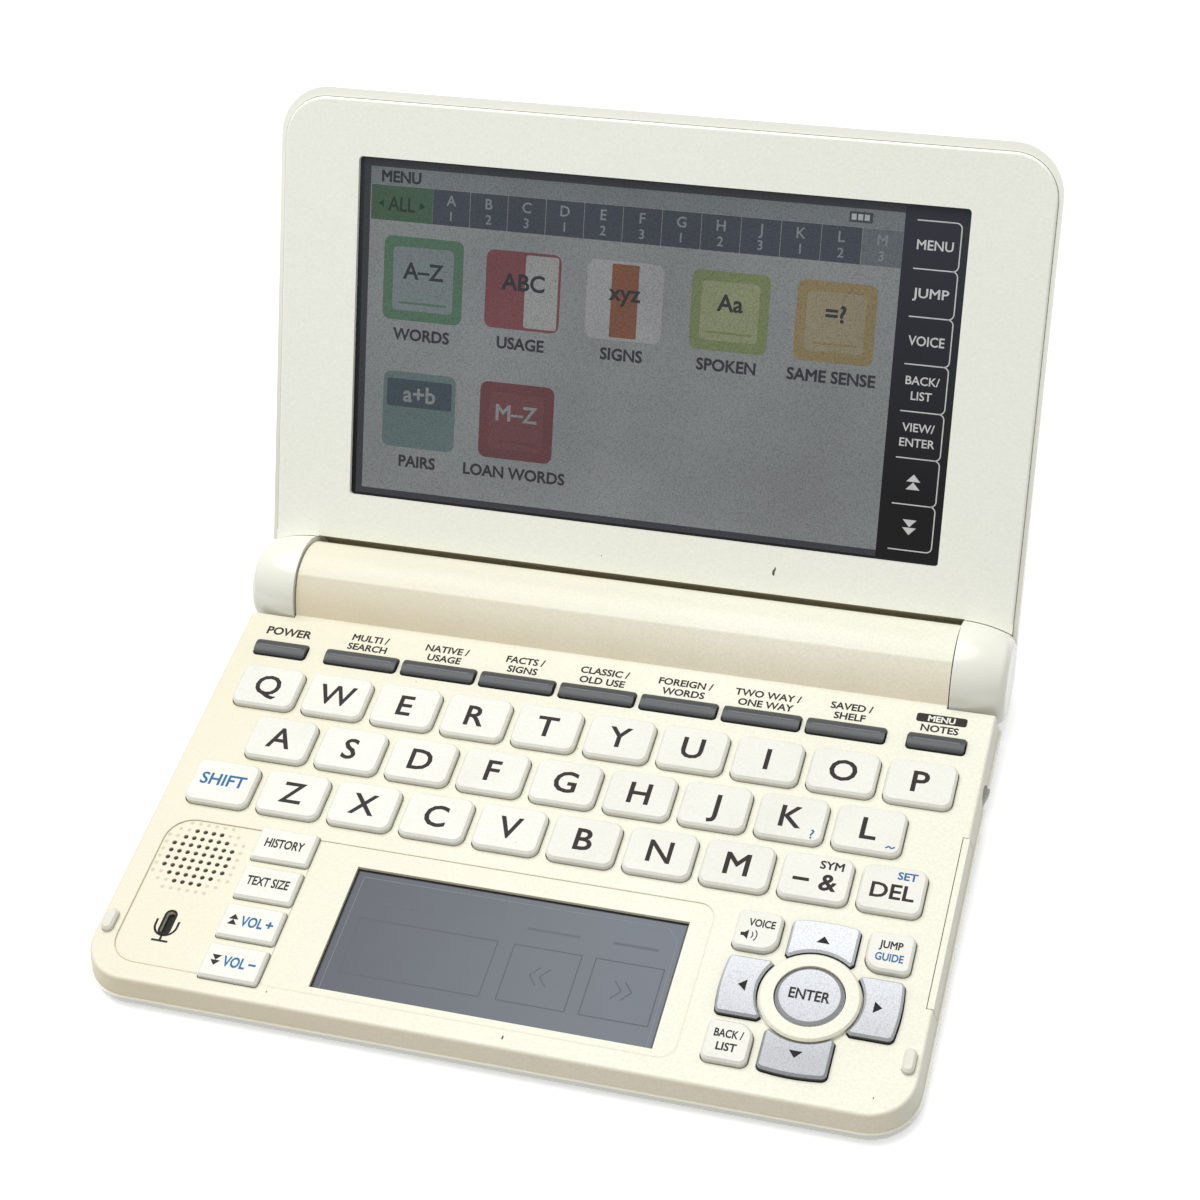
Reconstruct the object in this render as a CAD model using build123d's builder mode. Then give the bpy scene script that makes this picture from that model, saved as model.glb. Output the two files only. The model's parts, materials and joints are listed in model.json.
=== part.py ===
from build123d import *
import math
import os

# Electronic dictionary: a hinged pocket computer that stands open on its feet. Millimetres.
# The base is modelled with its deck level at z = 0, the deck's front edge on the X axis and
# +Y towards the hinge. The lid is modelled with the hinge axis on the X axis, +Y up the lid
# and +Z out of the display. Each finished piece is moved to where it stands on the table.

# Base
deck_width = 145.8
deck_depth = 86.6
deck_corner = 8.0
deck_plate = 1.6
deck_edge = 0.6
band_height = 4.3
band_flare = 0.7
base_height = 7.2
lip = 1.1
lip_flat = 0.7
base_floor = 1.4
wall = 1.8
crease_round = 1.2
overrun = 1.0
touch = 0.01

# Battery barrel and hinge
barrel_radius = 9.3
barrel_setback = 8.9
barrel_depth = 1.6
barrel_inset = 9.0
crease_angle = 117.4
flank_radius = 16.0
hinge_back = 0.3
hinge_rise = 0.32
shaft_radius = 2.5
shaft_length = 15.0
shaft_in_knuckle = 8.5
fixed_fit = 0.02
running_fit = 0.06

# Batteries
bay_inset = 11.4
cover_wall = 1.55
cell_button = 1.3
cell_button_radius = 2.75
cell_drop = 0.25
cell_room = 0.25
spring_length = 3.0
spring_wide = 5.0
spring_narrow = 3.0
spring_wire = 0.6
contact_plate = 0.5
contact_inset = 1.0
cover_start = 215
cover_end = 360
cover_gap = 0.12
cover_end_wall = 0.8

# Lid
open_angle = 122.2
lid_gap = 1.5
lid_height = 7.0
rim_side = 0.9
rim_top = 1.8
rim_step = 0.5
lid_corner = 9.5
lid_round = 2.6
lid_back = 1.7
bezel_corner = 8.4
bezel_depth = 2.6
bezel_edge = 0.5
bezel_fit = 0.1
tail_clearance = 0.3
tail_wall = 3.0
knuckle_room = 0.35
knuckle_side_gap = 0.3
knuckle_drop = 2.0
knuckle_round = 2.0
bezel_tab = 5.0
bore_room = 0.5
window_left = 15.14
window_right = 14.86
window_foot = 9.1
window_head = 10.55
window_recess = 0.9
window_margin = 1.6
window_corner = 0.8
glass = 1.1
display_depth = 2.7
display_room = 1.5
panel_gap = 0.15

# Keys: the letter rows fill the deck between these margins
keys_side = 3.7
keys_front = 37.5
keys_rear = 13.4
row_length = 10
key_spacing = 1.54
row_spacing = 2.2
key_corner = 1.8
key_height = 1.3
key_edge = 0.4
key_gap = 0.2
key_flange = 0.42
flange_depth = 0.7
key_travel = 0.5
delete_cut = 1.1
stack_inset = 27.3
stack_y = 6.5
stack_width = 11.0
stack_depth = 7.0
stack_corner = 0.5
stack_pitch = 8.5
stack_height = 1.0
bar_side = 18.055
bar_count = 7
bar_spacing = 1.37
bar_depth = 3.4
bar_height = 1.0
bar_inset = 9.3
bar_shoulder = 0.4
bar_corner = 0.6
bar_gap = 0.3
end_bar_width = 10.3
end_bar_inset = 9.4
comb_spine = 2.2
comb_inset = 4.0
tooth_side = 0.2

# Navigation pad
nav_inset = 20.2
nav_y = 19.55
enter_radius = 5.8
enter_height = 1.35
enter_edge = 0.7
ring_inner = 6.2
ring_outer = 8.6
ring_height = 1.1
ring_edge = 0.4
arrow_width = 11.6
arrow_reach = 15.3
arrow_height = 1.1
arrow_gap = 0.35
arrow_chamfer = 1.0
arrow_round = 1.0
arrow_bow = 0.5
corner_key = 7.8
corner_facing = 2.8
corner_round = 1.3
corner_key_x = 11.3
corner_key_y = 11.2

# Deck features
pad_left = 41.6
pad_right = 43.5
pad_front = 5.15
pad_height = 25.8
pad_recess = 0.8
pad_margin = 1.5
pad_depth = 2.6
hole_pitch = 1.607
hole_radius = 0.45
grille_inset = 12.2
grille_y = 27.2
field_sink = 0.15
field_front = 3.7
field_rear = 35.2
grille_field_inset = 4.2
grille_field_round = 5.0
pad_field_side = 3.9
pad_field_round = 3.0
slot_width = 1.5
slot_length = 4.6
slot_y = 12.8
speaker_radius = 8.0
speaker_depth = 2.3
speaker_rim = 1.0
cone_drop = 0.6
cushion_width = 2.1
cushion_length = 4.6
cushion_height = 1.1
cushion_inset = 2.0
cushion_y = 11.0
cushion_seat = 0.4
cushion_edge = 0.4
cushion_fit = 0.05

# Stylus and headphone socket
stylus_width = 1.1
stylus_length = 35.6
stylus_front = 21.8
stylus_height = 3.2
stylus_tongue = 2.6
stylus_cap = 1.4
stylus_gap = 0.15
jack_radius = 1.75
jack_wall = 0.6
jack_back = 16.7
jack_depth = 4.2
jack_body = 2.5
jack_inset = 3.1
jack_side = 0.75
jack_length = 11.0
jack_gap = 0.2
jack_fit = 0.1

# Inside
board_depth = 4.0
board_thick = 1.0
board_gap = 0.6
sheet_thick = 0.35
sheet_gap = 0.05
sheet_inset = 3.9
sheet_trim = 1.0
chip_height = 0.6
processor_side = 14.0
processor_x = 12.0
memory_width = 9.0
memory_depth = 12.0
memory_x = 39.0
driver_width = 18.0
driver_depth = 8.0
driver_y = 30.0
post_size = 3.2
post_forward = 1.8
boss_radius = 2.2
screw_radius = 1.0
screw_head = 1.9
head_depth = 0.7
screw_depth = 6.2
screw_end = 2.4
screw_room = 0.3
head_fit = 0.15
front_screw_inset = 7.4
front_screw_y = 6.2
pad_screw_side = 4.4
pad_screw_y = 20.0
rear_screw_inset = 4.4
rear_screw_front = 6.2
front_foot_radius = 3.6
front_foot_inset = 18.9
front_foot_y = 9.0
front_foot_proud = 0.5
rear_foot_radius = 2.8
rear_foot_inset = 4.9
rear_foot_proud = 0.35
foot_seat = 0.5
foot_fit = 0.1
foot_reach = 3.0

# Worked out from the sizes above
half_deck = deck_width / 2
half_base = half_deck + lip
half_barrel = half_deck - barrel_inset
barrel_y = deck_depth + barrel_setback
barrel_z = -barrel_depth
hinge_y = barrel_y + hinge_back
hinge_z = barrel_z + hinge_rise
barrel_reach = barrel_radius + math.hypot(hinge_back, hinge_rise)
tail_radius = barrel_reach + tail_clearance
bezel_z = -(lid_gap - hinge_z)
back_z = bezel_z - lid_height
knuckle_radius = -back_z
bezel_foot = math.sqrt(tail_radius**2 - bezel_z**2)
lid_top = hinge_y + lip
bezel_top = lid_top - rim_top
half_bezel = half_base - rim_side
half_foot = half_barrel + knuckle_side_gap
knuckle_width = half_base - half_foot
crown_radius = (knuckle_width**2 + knuckle_drop**2) / (2 * knuckle_drop)
window_width = 2 * half_bezel - window_left - window_right
window_height = bezel_top - bezel_foot - window_foot - window_head
window_centre = (
    (window_left - window_right) / 2,
    bezel_foot + window_foot + window_height / 2,
)
cell_z = barrel_z - cell_drop
bay_radius = barrel_radius - cover_wall - cell_drop
cell_radius = bay_radius - cell_room
half_bay = half_barrel - bay_inset
cell_length = half_bay - contact_plate - spring_length / 2 - cell_button
cavity_rear = hinge_y - knuckle_radius - knuckle_room - wall
seam = Plane.XY.offset(-band_height)
lip_round = base_height - band_height - lip_flat
rear_seat_z = barrel_z - barrel_radius + foot_seat

key_pitch = (deck_width - 2 * keys_side) / row_length
key_width = key_pitch - key_spacing
row_pitch = (deck_depth - keys_front - keys_rear) / 3
key_depth = row_pitch - row_spacing
first_row = keys_front + row_pitch / 2
bar_pitch = (deck_width - 2 * bar_side) / bar_count
bar_width = bar_pitch - bar_spacing
bar_row = deck_depth - bar_inset
end_bar_x = half_deck - end_bar_inset
comb_rear = deck_depth - comb_inset
stack_x = stack_inset - half_deck
nav_x = half_deck - nav_inset
pad_width = deck_width - pad_left - pad_right
pad_x = (pad_left - pad_right) / 2
pad_y = pad_front + pad_height / 2
grille_x = grille_inset - half_deck
cushion_x = half_deck - cushion_inset
jack_y = deck_depth - jack_back
jack_x = half_deck - jack_inset - jack_length / 2
sheet_z = -board_depth + sheet_thick
post_top = -(deck_plate + flange_depth + key_travel + sheet_gap)
front_foot_x = half_deck - front_foot_inset
rear_foot_x = half_barrel - rear_foot_inset

# The table touches the front feet and the rear feet
foot_front = (front_foot_y, -(base_height + front_foot_proud))
foot_rear = (barrel_y, barrel_z - barrel_radius - rear_foot_proud)
lean = math.atan2(foot_front[1] - foot_rear[1], foot_rear[0] - foot_front[0])
table_normal = (0, math.sin(lean), math.cos(lean))
table = Plane(origin=(0, *foot_front), x_dir=(1, 0, 0), z_dir=table_normal)

# The lid's own frame, on the hinge axis
open_turn = math.radians(open_angle)
lid_normal = (0, -math.sin(open_turn), -math.cos(open_turn))
lid_frame = Plane(origin=(0, hinge_y, hinge_z), x_dir=(1, 0, 0), z_dir=lid_normal)

front_screw_x = half_deck - front_screw_inset
pad_screw_x = pad_width / 2 + pad_screw_side
rear_screw_x = half_barrel - rear_screw_inset
board_screws = [
    (-front_screw_x, front_screw_y),
    (front_screw_x, front_screw_y),
    (pad_x - pad_screw_x, pad_screw_y),
    (pad_x + pad_screw_x, pad_screw_y),
]
rear_screws = [(side * rear_screw_x, barrel_y - rear_screw_front) for side in (-1, 1)]
screw_places = board_screws + rear_screws

# Names of each row from the front, with the row's small shift to the right
letter_rows = [
    ("shift z x c v b n m symbol delete", 0.2),
    ("a s d f g h j k l", 0.3),
    ("q w e r t y u i o p", 0.2),
]


def deck_keys():
    """Name, shape, centre and turn of every separate key in the deck."""
    for row, (names, shift) in enumerate(letter_rows):
        row_names = names.split()
        middle_place = (len(row_names) - 1) / 2
        for place, name in enumerate(row_names):
            shape = "delete" if name == "delete" else "letter"
            x = shift + (place - middle_place) * key_pitch
            yield name, shape, x, first_row + row * row_pitch, 0
    for place, name in enumerate(["volume_down", "volume_up", "text_size", "history"]):
        yield name, "stack", stack_x, stack_y + place * stack_pitch, 0
    for place, name in enumerate(["up", "left", "down", "right"]):
        yield name, "arrow", nav_x, nav_y, 90 * place
    yield "enter", "enter", nav_x, nav_y, 0
    yield "voice", "corner", nav_x - corner_key_x, nav_y + corner_key_y, -90
    yield "jump", "corner", nav_x + corner_key_x, nav_y + corner_key_y, 180
    yield "back", "corner", nav_x - corner_key_x, nav_y - corner_key_y, 0


def bar_places():
    """Centre and width of each of the nine bars behind the letter rows."""
    yield -end_bar_x, end_bar_width
    for place in range(bar_count):
        yield (place - (bar_count - 1) / 2) * bar_pitch, bar_width
    yield end_bar_x, end_bar_width


def grille_places():
    """Centres of the holes that fill a round patch of the square grid."""
    rows = [4, 6, 8, 8, 8, 8, 6, 4]
    for row, count in enumerate(rows):
        for place in range(count):
            x = grille_x + (place - (count - 1) / 2) * hole_pitch
            yield x, grille_y + ((len(rows) - 1) / 2 - row) * hole_pitch


# Outlines of the keys, each about its own centre

with BuildSketch() as letter_outline:
    RectangleRounded(key_width, key_depth, key_corner)

with BuildSketch() as delete_outline:
    with Locations((-delete_cut / 2, 0)):
        RectangleRounded(key_width - delete_cut, key_depth, key_corner)

with BuildSketch() as stack_outline:
    RectangleRounded(stack_width, stack_depth, stack_corner)

with BuildSketch() as enter_outline:
    Circle(enter_radius)

with BuildSketch() as arrow_outline:
    arrow_foot = ring_outer + arrow_gap
    half_arrow = arrow_width / 2
    shoulder = math.sqrt(arrow_foot**2 - half_arrow**2)
    with BuildLine():
        outer = ThreePointArc(
            (half_arrow, arrow_reach - arrow_bow),
            (0, arrow_reach),
            (-half_arrow, arrow_reach - arrow_bow),
        )
        Polyline(
            outer @ 1,
            (-half_arrow, shoulder + arrow_chamfer),
            (arrow_chamfer - half_arrow, shoulder),
            (0, ring_inner),
            (half_arrow - arrow_chamfer, shoulder),
            (half_arrow, shoulder + arrow_chamfer),
            outer @ 0,
        )
    make_face()
    fillet(arrow_outline.vertices().group_by(Axis.Y)[-1], arrow_round)
    Circle(arrow_foot, mode=Mode.SUBTRACT)

with BuildSketch() as corner_outline:
    # the corner that faces the ring has the larger round
    Rectangle(corner_key, corner_key)
    corners = corner_outline.vertices().sort_by(Axis((0, 0, 0), (1, 1, 0)))
    fillet(corners[:-1], corner_round)
    corners = corner_outline.vertices().sort_by(Axis((0, 0, 0), (1, 1, 0)))
    fillet(corners[-1], corner_facing)

key_outlines = {
    "letter": letter_outline.sketch,
    "delete": delete_outline.sketch,
    "stack": stack_outline.sketch,
    "arrow": arrow_outline.sketch,
    "enter": enter_outline.sketch,
    "corner": corner_outline.sketch,
}
key_heights = {
    "letter": key_height,
    "delete": key_height,
    "stack": stack_height,
    "arrow": arrow_height,
    "enter": enter_height,
    "corner": key_height,
}


def grown(outline, amount):
    """The outline with room of that amount all round."""
    with BuildSketch() as larger:
        offset(outline, amount, mode=Mode.ADD)
    return larger.sketch


key_openings = {shape: grown(outline, key_gap) for shape, outline in key_outlines.items()}
key_flanges = {}
for shape, outline in key_outlines.items():
    if shape in ("arrow", "enter"):
        key_flanges[shape] = grown(outline, key_gap + key_flange)
        continue
    extent = outline.bounding_box()
    with BuildSketch() as flange:
        with Locations(extent.center()):
            rim = 2 * (key_gap + key_flange)
            Rectangle(extent.size.X + rim, extent.size.Y + rim)
    key_flanges[shape] = flange.sketch

# Section of the barrel, with a flattened front flank that rises from the deck
crease_y = barrel_y + barrel_radius * math.cos(math.radians(crease_angle))
crease_z = barrel_z + barrel_radius * math.sin(math.radians(crease_angle))
hull_foot = barrel_y - math.sqrt(barrel_radius**2 - (base_height - barrel_depth) ** 2)
with BuildSketch(Plane.YZ) as barrel_section:
    with BuildLine():
        RadiusArc((deck_depth, 0), (crease_y, crease_z), flank_radius)
        ThreePointArc(
            (crease_y, crease_z), (barrel_y + barrel_radius, barrel_z), (hull_foot, -base_height)
        )
        Polyline((hull_foot, -base_height), (deck_depth, -base_height), (deck_depth, 0))
    make_face()


def rod(radius, centre, start, end, mode=Mode.ADD):
    """Round bar along X, added to the part that is being built or cut from it."""
    with BuildSketch(Plane.YZ.offset(start)) as bar_face:
        with Locations(centre):
            Circle(radius)
    extrude(bar_face.sketch, amount=end - start, mode=mode)


def cover_sector(gap):
    """Ring sector of the battery cover, grown by gap at both ends and inside."""
    turn = math.degrees(gap / barrel_radius)
    reach = 3 * barrel_radius
    with BuildSketch(Plane.YZ) as sector:
        with Locations((barrel_y, barrel_z)):
            Circle(barrel_radius + gap)
            Circle(bay_radius + cell_drop - gap, mode=Mode.SUBTRACT)
        with BuildLine():
            spokes = [
                (
                    barrel_y + reach * math.cos(math.radians(angle)),
                    barrel_z + reach * math.sin(math.radians(angle)),
                )
                for angle in (cover_start - turn, (cover_start + cover_end) / 2, cover_end + turn)
            ]
            Polyline((barrel_y, barrel_z), *spokes, close=True)
        make_face(mode=Mode.INTERSECT)
    return sector.sketch


def hollow_outline(room):
    """Outline of the hollow in the base, less that room all round."""
    with BuildSketch() as hollow:
        with Locations((0, (wall + cavity_rear) / 2)):
            Rectangle(deck_width - 2 * (wall + room), cavity_rear - wall - 2 * room)
        fillet(hollow.vertices().group_by(Axis.Y)[0], deck_corner - wall - room)
    return hollow.sketch


def clear_hinge():
    """Clears the base round the two lid knuckles and the battery bay."""
    for side in (-1, 1):
        room = knuckle_radius + knuckle_room
        rod(room, (hinge_y, hinge_z), side * half_barrel, side * (half_base + overrun), Mode.SUBTRACT)
    rod(bay_radius, (barrel_y, cell_z), -half_bay, half_bay, Mode.SUBTRACT)
    half_cover = half_bay + cover_end_wall + cover_gap
    extrude(cover_sector(cover_gap), amount=half_cover, both=True, mode=Mode.SUBTRACT)


def clear_jack():
    """Opens the right side wall for the collar of the headphone socket."""
    jack_start = half_deck - jack_inset - jack_gap
    jack_place = (jack_y, -jack_depth)
    rod(jack_radius + jack_wall + jack_fit, jack_place, jack_start, half_base + overrun, Mode.SUBTRACT)


def stylus_section(gap):
    """Section of the stylus: edge of the deck and side band, with a tongue under the deck."""
    inner = half_deck - stylus_width
    outer_low = half_deck + band_flare * stylus_height / band_height
    with BuildSketch(Plane.XZ) as section:
        with BuildLine():
            Polyline(
                (inner - gap, gap),
                (half_deck + gap, gap),
                (outer_low + gap, -stylus_height - gap),
                (inner - stylus_tongue - gap, -stylus_height - gap),
                (inner - stylus_tongue - gap, gap - stylus_cap),
                (inner - gap, gap - stylus_cap),
                close=True,
            )
        make_face()
    return section.sketch


pieces = []


def finish(piece, name, frame=Plane.XY):
    """Names a finished piece and keeps it with the frame that it is modelled in."""
    piece.part.label = name
    pieces.append((piece.part, name, frame))


# Upper half case: deck, side band and the barrel's upper part
with BuildPart() as top_case:
    extrude(barrel_section.sketch, amount=half_barrel, both=True)
    split(bisect_by=seam, keep=Keep.TOP)
    crease = top_case.edges().filter_by(Axis.X).sort_by_distance((0, crease_y, crease_z))[0]
    fillet(crease, crease_round)
    with BuildSketch(seam) as band_outline:
        with Locations((0, (hinge_y - band_flare) / 2)):
            Rectangle(deck_width + 2 * band_flare, hinge_y + band_flare)
        fillet(band_outline.vertices().group_by(Axis.Y)[0], deck_corner + band_flare)
    extrude(amount=band_height, taper=math.degrees(math.atan(band_flare / band_height)))
    deck_rim = top_case.edges().filter_by_position(Axis.Z, -touch, touch)
    fillet(deck_rim.filter_by_position(Axis.Y, -touch, deck_depth - touch), deck_edge)
    clear_hinge()
    # hollow under the deck
    with BuildSketch(seam):
        add(hollow_outline(0))
    extrude(amount=band_height - deck_plate, mode=Mode.SUBTRACT)
    # seats of the hinge shafts
    for side in (-1, 1):
        seat_end = side * (half_barrel + knuckle_side_gap + shaft_in_knuckle - shaft_length)
        seat_start = side * (half_barrel + overrun)
        rod(shaft_radius + fixed_fit, (hinge_y, hinge_z), seat_start, seat_end, Mode.SUBTRACT)
    # screw bosses
    with BuildSketch(Plane.XY.offset(-deck_plate)):
        with Locations(board_screws):
            Circle(boss_radius)
    extrude(amount=deck_plate - board_depth)
    with BuildSketch(Plane.XY.offset(-base_height)):
        with Locations(screw_places):
            Circle(screw_radius + fixed_fit)
    extrude(amount=base_height - screw_end + screw_room, mode=Mode.SUBTRACT)
    # raised ring round the enter key
    with BuildSketch(Plane.XY.offset(-deck_plate / 2)) as ring_face:
        with Locations((nav_x, nav_y)):
            Circle(ring_outer)
    extrude(ring_face.sketch, amount=ring_height + deck_plate / 2)
    ring_rim = top_case.edges().filter_by_position(Axis.Z, ring_height - touch, ring_height + touch)
    chamfer(ring_rim.filter_by(GeomType.CIRCLE), ring_edge)
    # shallow fields round the grille and round the handwriting panel
    with BuildSketch(Plane.XY.offset(-field_sink)) as fields:
        field_depth = field_rear - field_front
        field_middle = (field_front + field_rear) / 2
        field_left = grille_field_inset - half_deck
        field_right = stack_x - stack_width / 2 - key_gap
        with Locations(((field_left + field_right) / 2, field_middle)):
            Rectangle(field_right - field_left, field_depth)
        fillet(fields.vertices().group_by(Axis.X)[0], grille_field_round)
        field_left = stack_x + stack_width / 2 + key_gap
        field_right = pad_x + pad_width / 2 + pad_field_side
        with Locations(((field_left + field_right) / 2, field_middle)):
            Rectangle(field_right - field_left, field_depth)
        fillet(fields.vertices().group_by(Axis.X)[-1], pad_field_round)
    extrude(fields.sketch, amount=2 * field_sink, mode=Mode.SUBTRACT)
    # openings of the keys and of the nine bars
    with BuildSketch(Plane.XY.offset(ring_height)) as openings:
        for _, shape, x, y, turn in deck_keys():
            with Locations(Location((x, y, 0), (0, 0, turn))):
                add(key_openings[shape])
        for x, width in bar_places():
            with Locations((x, bar_row)):
                RectangleRounded(width + 2 * bar_gap, bar_depth + 2 * bar_gap, bar_corner + bar_gap)
        # loudspeaker grille and microphone slot
        with Locations(*grille_places()):
            Circle(hole_radius)
        with Locations((grille_x, slot_y)):
            SlotOverall(slot_length, slot_width, rotation=90)
    extrude(openings.sketch, amount=-(ring_height + deck_plate), mode=Mode.SUBTRACT)
    # handwriting panel: window above, wider pocket below
    with BuildSketch() as pad_window:
        with Locations((pad_x, pad_y)):
            Rectangle(pad_width, pad_height)
    extrude(pad_window.sketch, amount=-deck_plate, mode=Mode.SUBTRACT)
    with BuildSketch(Plane.XY.offset(-pad_recess)) as pad_pocket:
        with Locations((pad_x, pad_y)):
            rim = 2 * (pad_margin + panel_gap)
            Rectangle(pad_width + rim, pad_height + rim)
    extrude(pad_pocket.sketch, amount=pad_recess - deck_plate, mode=Mode.SUBTRACT)
    # slot of the stylus and hole of the headphone socket
    with BuildSketch(Plane.XZ.offset(-stylus_front - stylus_length - stylus_gap)) as stylus_slot:
        add(stylus_section(stylus_gap))
    extrude(stylus_slot.sketch, amount=stylus_length + 2 * stylus_gap, mode=Mode.SUBTRACT)
    clear_jack()
    # shallow seats of the two lid cushions
    with BuildSketch() as cushion_seats:
        for side in (-1, 1):
            with Locations((side * cushion_x, cushion_y)):
                rim = 2 * cushion_fit
                SlotOverall(cushion_length + rim, cushion_width + rim, rotation=90)
    extrude(cushion_seats.sketch, amount=-cushion_seat, mode=Mode.SUBTRACT)
finish(top_case, "top_case")


# Lower half case: glossy tray with the barrel's lower part
with BuildPart() as bottom_case:
    extrude(barrel_section.sketch, amount=half_barrel, both=True)
    split(bisect_by=seam, keep=Keep.BOTTOM)
    with BuildSketch(seam) as tray_outline:
        with Locations((0, (hinge_y - lip) / 2)):
            Rectangle(2 * half_base, hinge_y + lip)
        fillet(tray_outline.vertices().group_by(Axis.Y)[0], deck_corner + lip)
    extrude(amount=band_height - base_height)
    tray_rim = bottom_case.edges().filter_by_position(Axis.Z, -base_height - touch, touch - base_height)
    fillet(tray_rim.filter_by_position(Axis.Y, -lip - touch, hull_foot - overrun), lip_round)
    clear_hinge()
    # hollow for the board
    with BuildSketch(Plane.XY.offset(base_floor - base_height)):
        add(hollow_outline(0))
    extrude(amount=base_height - band_height - base_floor, mode=Mode.SUBTRACT)
    with BuildSketch(Plane.XY.offset(base_floor - base_height)):
        with Locations(board_screws):
            Circle(boss_radius)
    extrude(amount=base_height - base_floor - board_depth - board_thick)
    # screw holes and the recesses of the screw heads
    with BuildSketch(Plane.XY.offset(-screw_depth)):
        with Locations(screw_places):
            Circle(screw_radius + fixed_fit)
    extrude(amount=base_height, mode=Mode.SUBTRACT)
    with BuildSketch(Plane.XY.offset(-screw_depth)):
        with Locations(screw_places):
            Circle(screw_head + head_fit)
    extrude(amount=-base_height, mode=Mode.SUBTRACT)
    # seats of the feet
    with BuildSketch(Plane.XY.offset(foot_seat - base_height)):
        with Locations((-front_foot_x, front_foot_y), (front_foot_x, front_foot_y)):
            Circle(front_foot_radius + foot_fit)
    extrude(amount=-base_height, mode=Mode.SUBTRACT)
    with BuildSketch(Plane.XY.offset(rear_seat_z)):
        with Locations((-rear_foot_x, barrel_y), (rear_foot_x, barrel_y)):
            Circle(rear_foot_radius + foot_fit)
    extrude(amount=-base_height, mode=Mode.SUBTRACT)
    clear_jack()
finish(bottom_case, "bottom_case")


# Battery cover, cells and contacts
with BuildPart() as battery_cover:
    extrude(cover_sector(0), amount=half_bay + cover_end_wall, both=True)
finish(battery_cover, "battery_cover")

with BuildPart() as battery_cells:
    start = contact_plate + spring_length - half_bay
    for place in range(2):
        cell_start = start + place * (cell_length + cell_button)
        cell_end = cell_start + cell_length
        rod(cell_radius, (barrel_y, cell_z), cell_start, cell_end)
        rod(cell_button_radius, (barrel_y, cell_z), cell_end, cell_end + cell_button)
finish(battery_cells, "battery_cells")

with BuildPart() as battery_contacts:
    for side in (-1, 1):
        plate_start = side * (half_bay - contact_plate)
        rod(cell_radius - contact_inset, (barrel_y, cell_z), plate_start, side * half_bay)
    # conical spring between the left plate and the first cell
    with BuildSketch(Plane.XZ.offset(-barrel_y)) as spring_side:
        with BuildLine():
            spring_start = contact_plate - half_bay
            Polyline(
                (spring_start, cell_z + spring_wide),
                (spring_start + spring_length, cell_z + spring_narrow),
                (spring_start + spring_length, cell_z + spring_narrow - spring_wire),
                (spring_start, cell_z + spring_wide - spring_wire),
                close=True,
            )
        make_face()
    revolve(spring_side.sketch, axis=Axis((0, barrel_y, cell_z), (1, 0, 0)))
finish(battery_contacts, "battery_contacts")


# Hinge shafts, fixed in the barrel's ends
with BuildPart() as hinge_shafts:
    for side in (-1, 1):
        shaft_end = side * (half_barrel + knuckle_side_gap + shaft_in_knuckle)
        rod(shaft_radius, (hinge_y, hinge_z), shaft_end, shaft_end - side * shaft_length)
finish(hinge_shafts, "hinge_shafts")


# Keys: a cap through the deck and a flange that keeps it in
for name, shape, x, y, turn in deck_keys():
    with BuildPart() as key:
        with BuildSketch(Plane.XY.offset(-deck_plate)) as cap_face:
            with Locations(Location((x, y, 0), (0, 0, turn))):
                add(key_outlines[shape])
        extrude(amount=deck_plate + key_heights[shape])
        edge_size = enter_edge if shape == "enter" else key_edge
        chamfer(key.faces().sort_by(Axis.Z)[-1].edges(), edge_size)
        with BuildSketch(Plane.XY.offset(-deck_plate)) as flange_face:
            with Locations(Location((x, y, 0), (0, 0, turn))):
                add(key_flanges[shape])
        extrude(amount=-flange_depth)
    finish(key, f"key_{name}")

# Nine bars on one comb that bends about its spine
with BuildPart() as function_keys:
    with BuildSketch(Plane.XY.offset(-deck_plate)) as bars:
        for x, width in bar_places():
            with Locations((x, bar_row)):
                RectangleRounded(width, bar_depth, bar_corner)
    extrude(amount=deck_plate + bar_height)
    # the tops are crowned from front to rear
    bar_front = bar_row - bar_depth / 2
    bar_rear = bar_row + bar_depth / 2
    with BuildSketch(Plane.YZ) as crown:
        with BuildLine():
            front = (bar_front, bar_shoulder)
            rear = (bar_rear, bar_shoulder)
            ThreePointArc(front, (bar_row, bar_height), rear)
            Polyline(rear, (bar_rear, -deck_plate), (bar_front, -deck_plate), front)
        make_face()
    extrude(crown.sketch, amount=half_deck, both=True, mode=Mode.INTERSECT)
    comb_front = bar_front - bar_gap - key_flange
    with BuildSketch(Plane.XY.offset(-deck_plate)) as comb:
        for x, width in bar_places():
            tooth = width + 2 * (bar_gap + tooth_side)
            with Locations((x, (comb_front + comb_rear) / 2)):
                Rectangle(tooth, comb_rear - comb_front)
        with Locations((0, comb_rear - comb_spine / 2)):
            Rectangle(2 * end_bar_x + end_bar_width, comb_spine)
    extrude(comb.sketch, amount=-flange_depth)
finish(function_keys, "function_keys")


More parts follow.
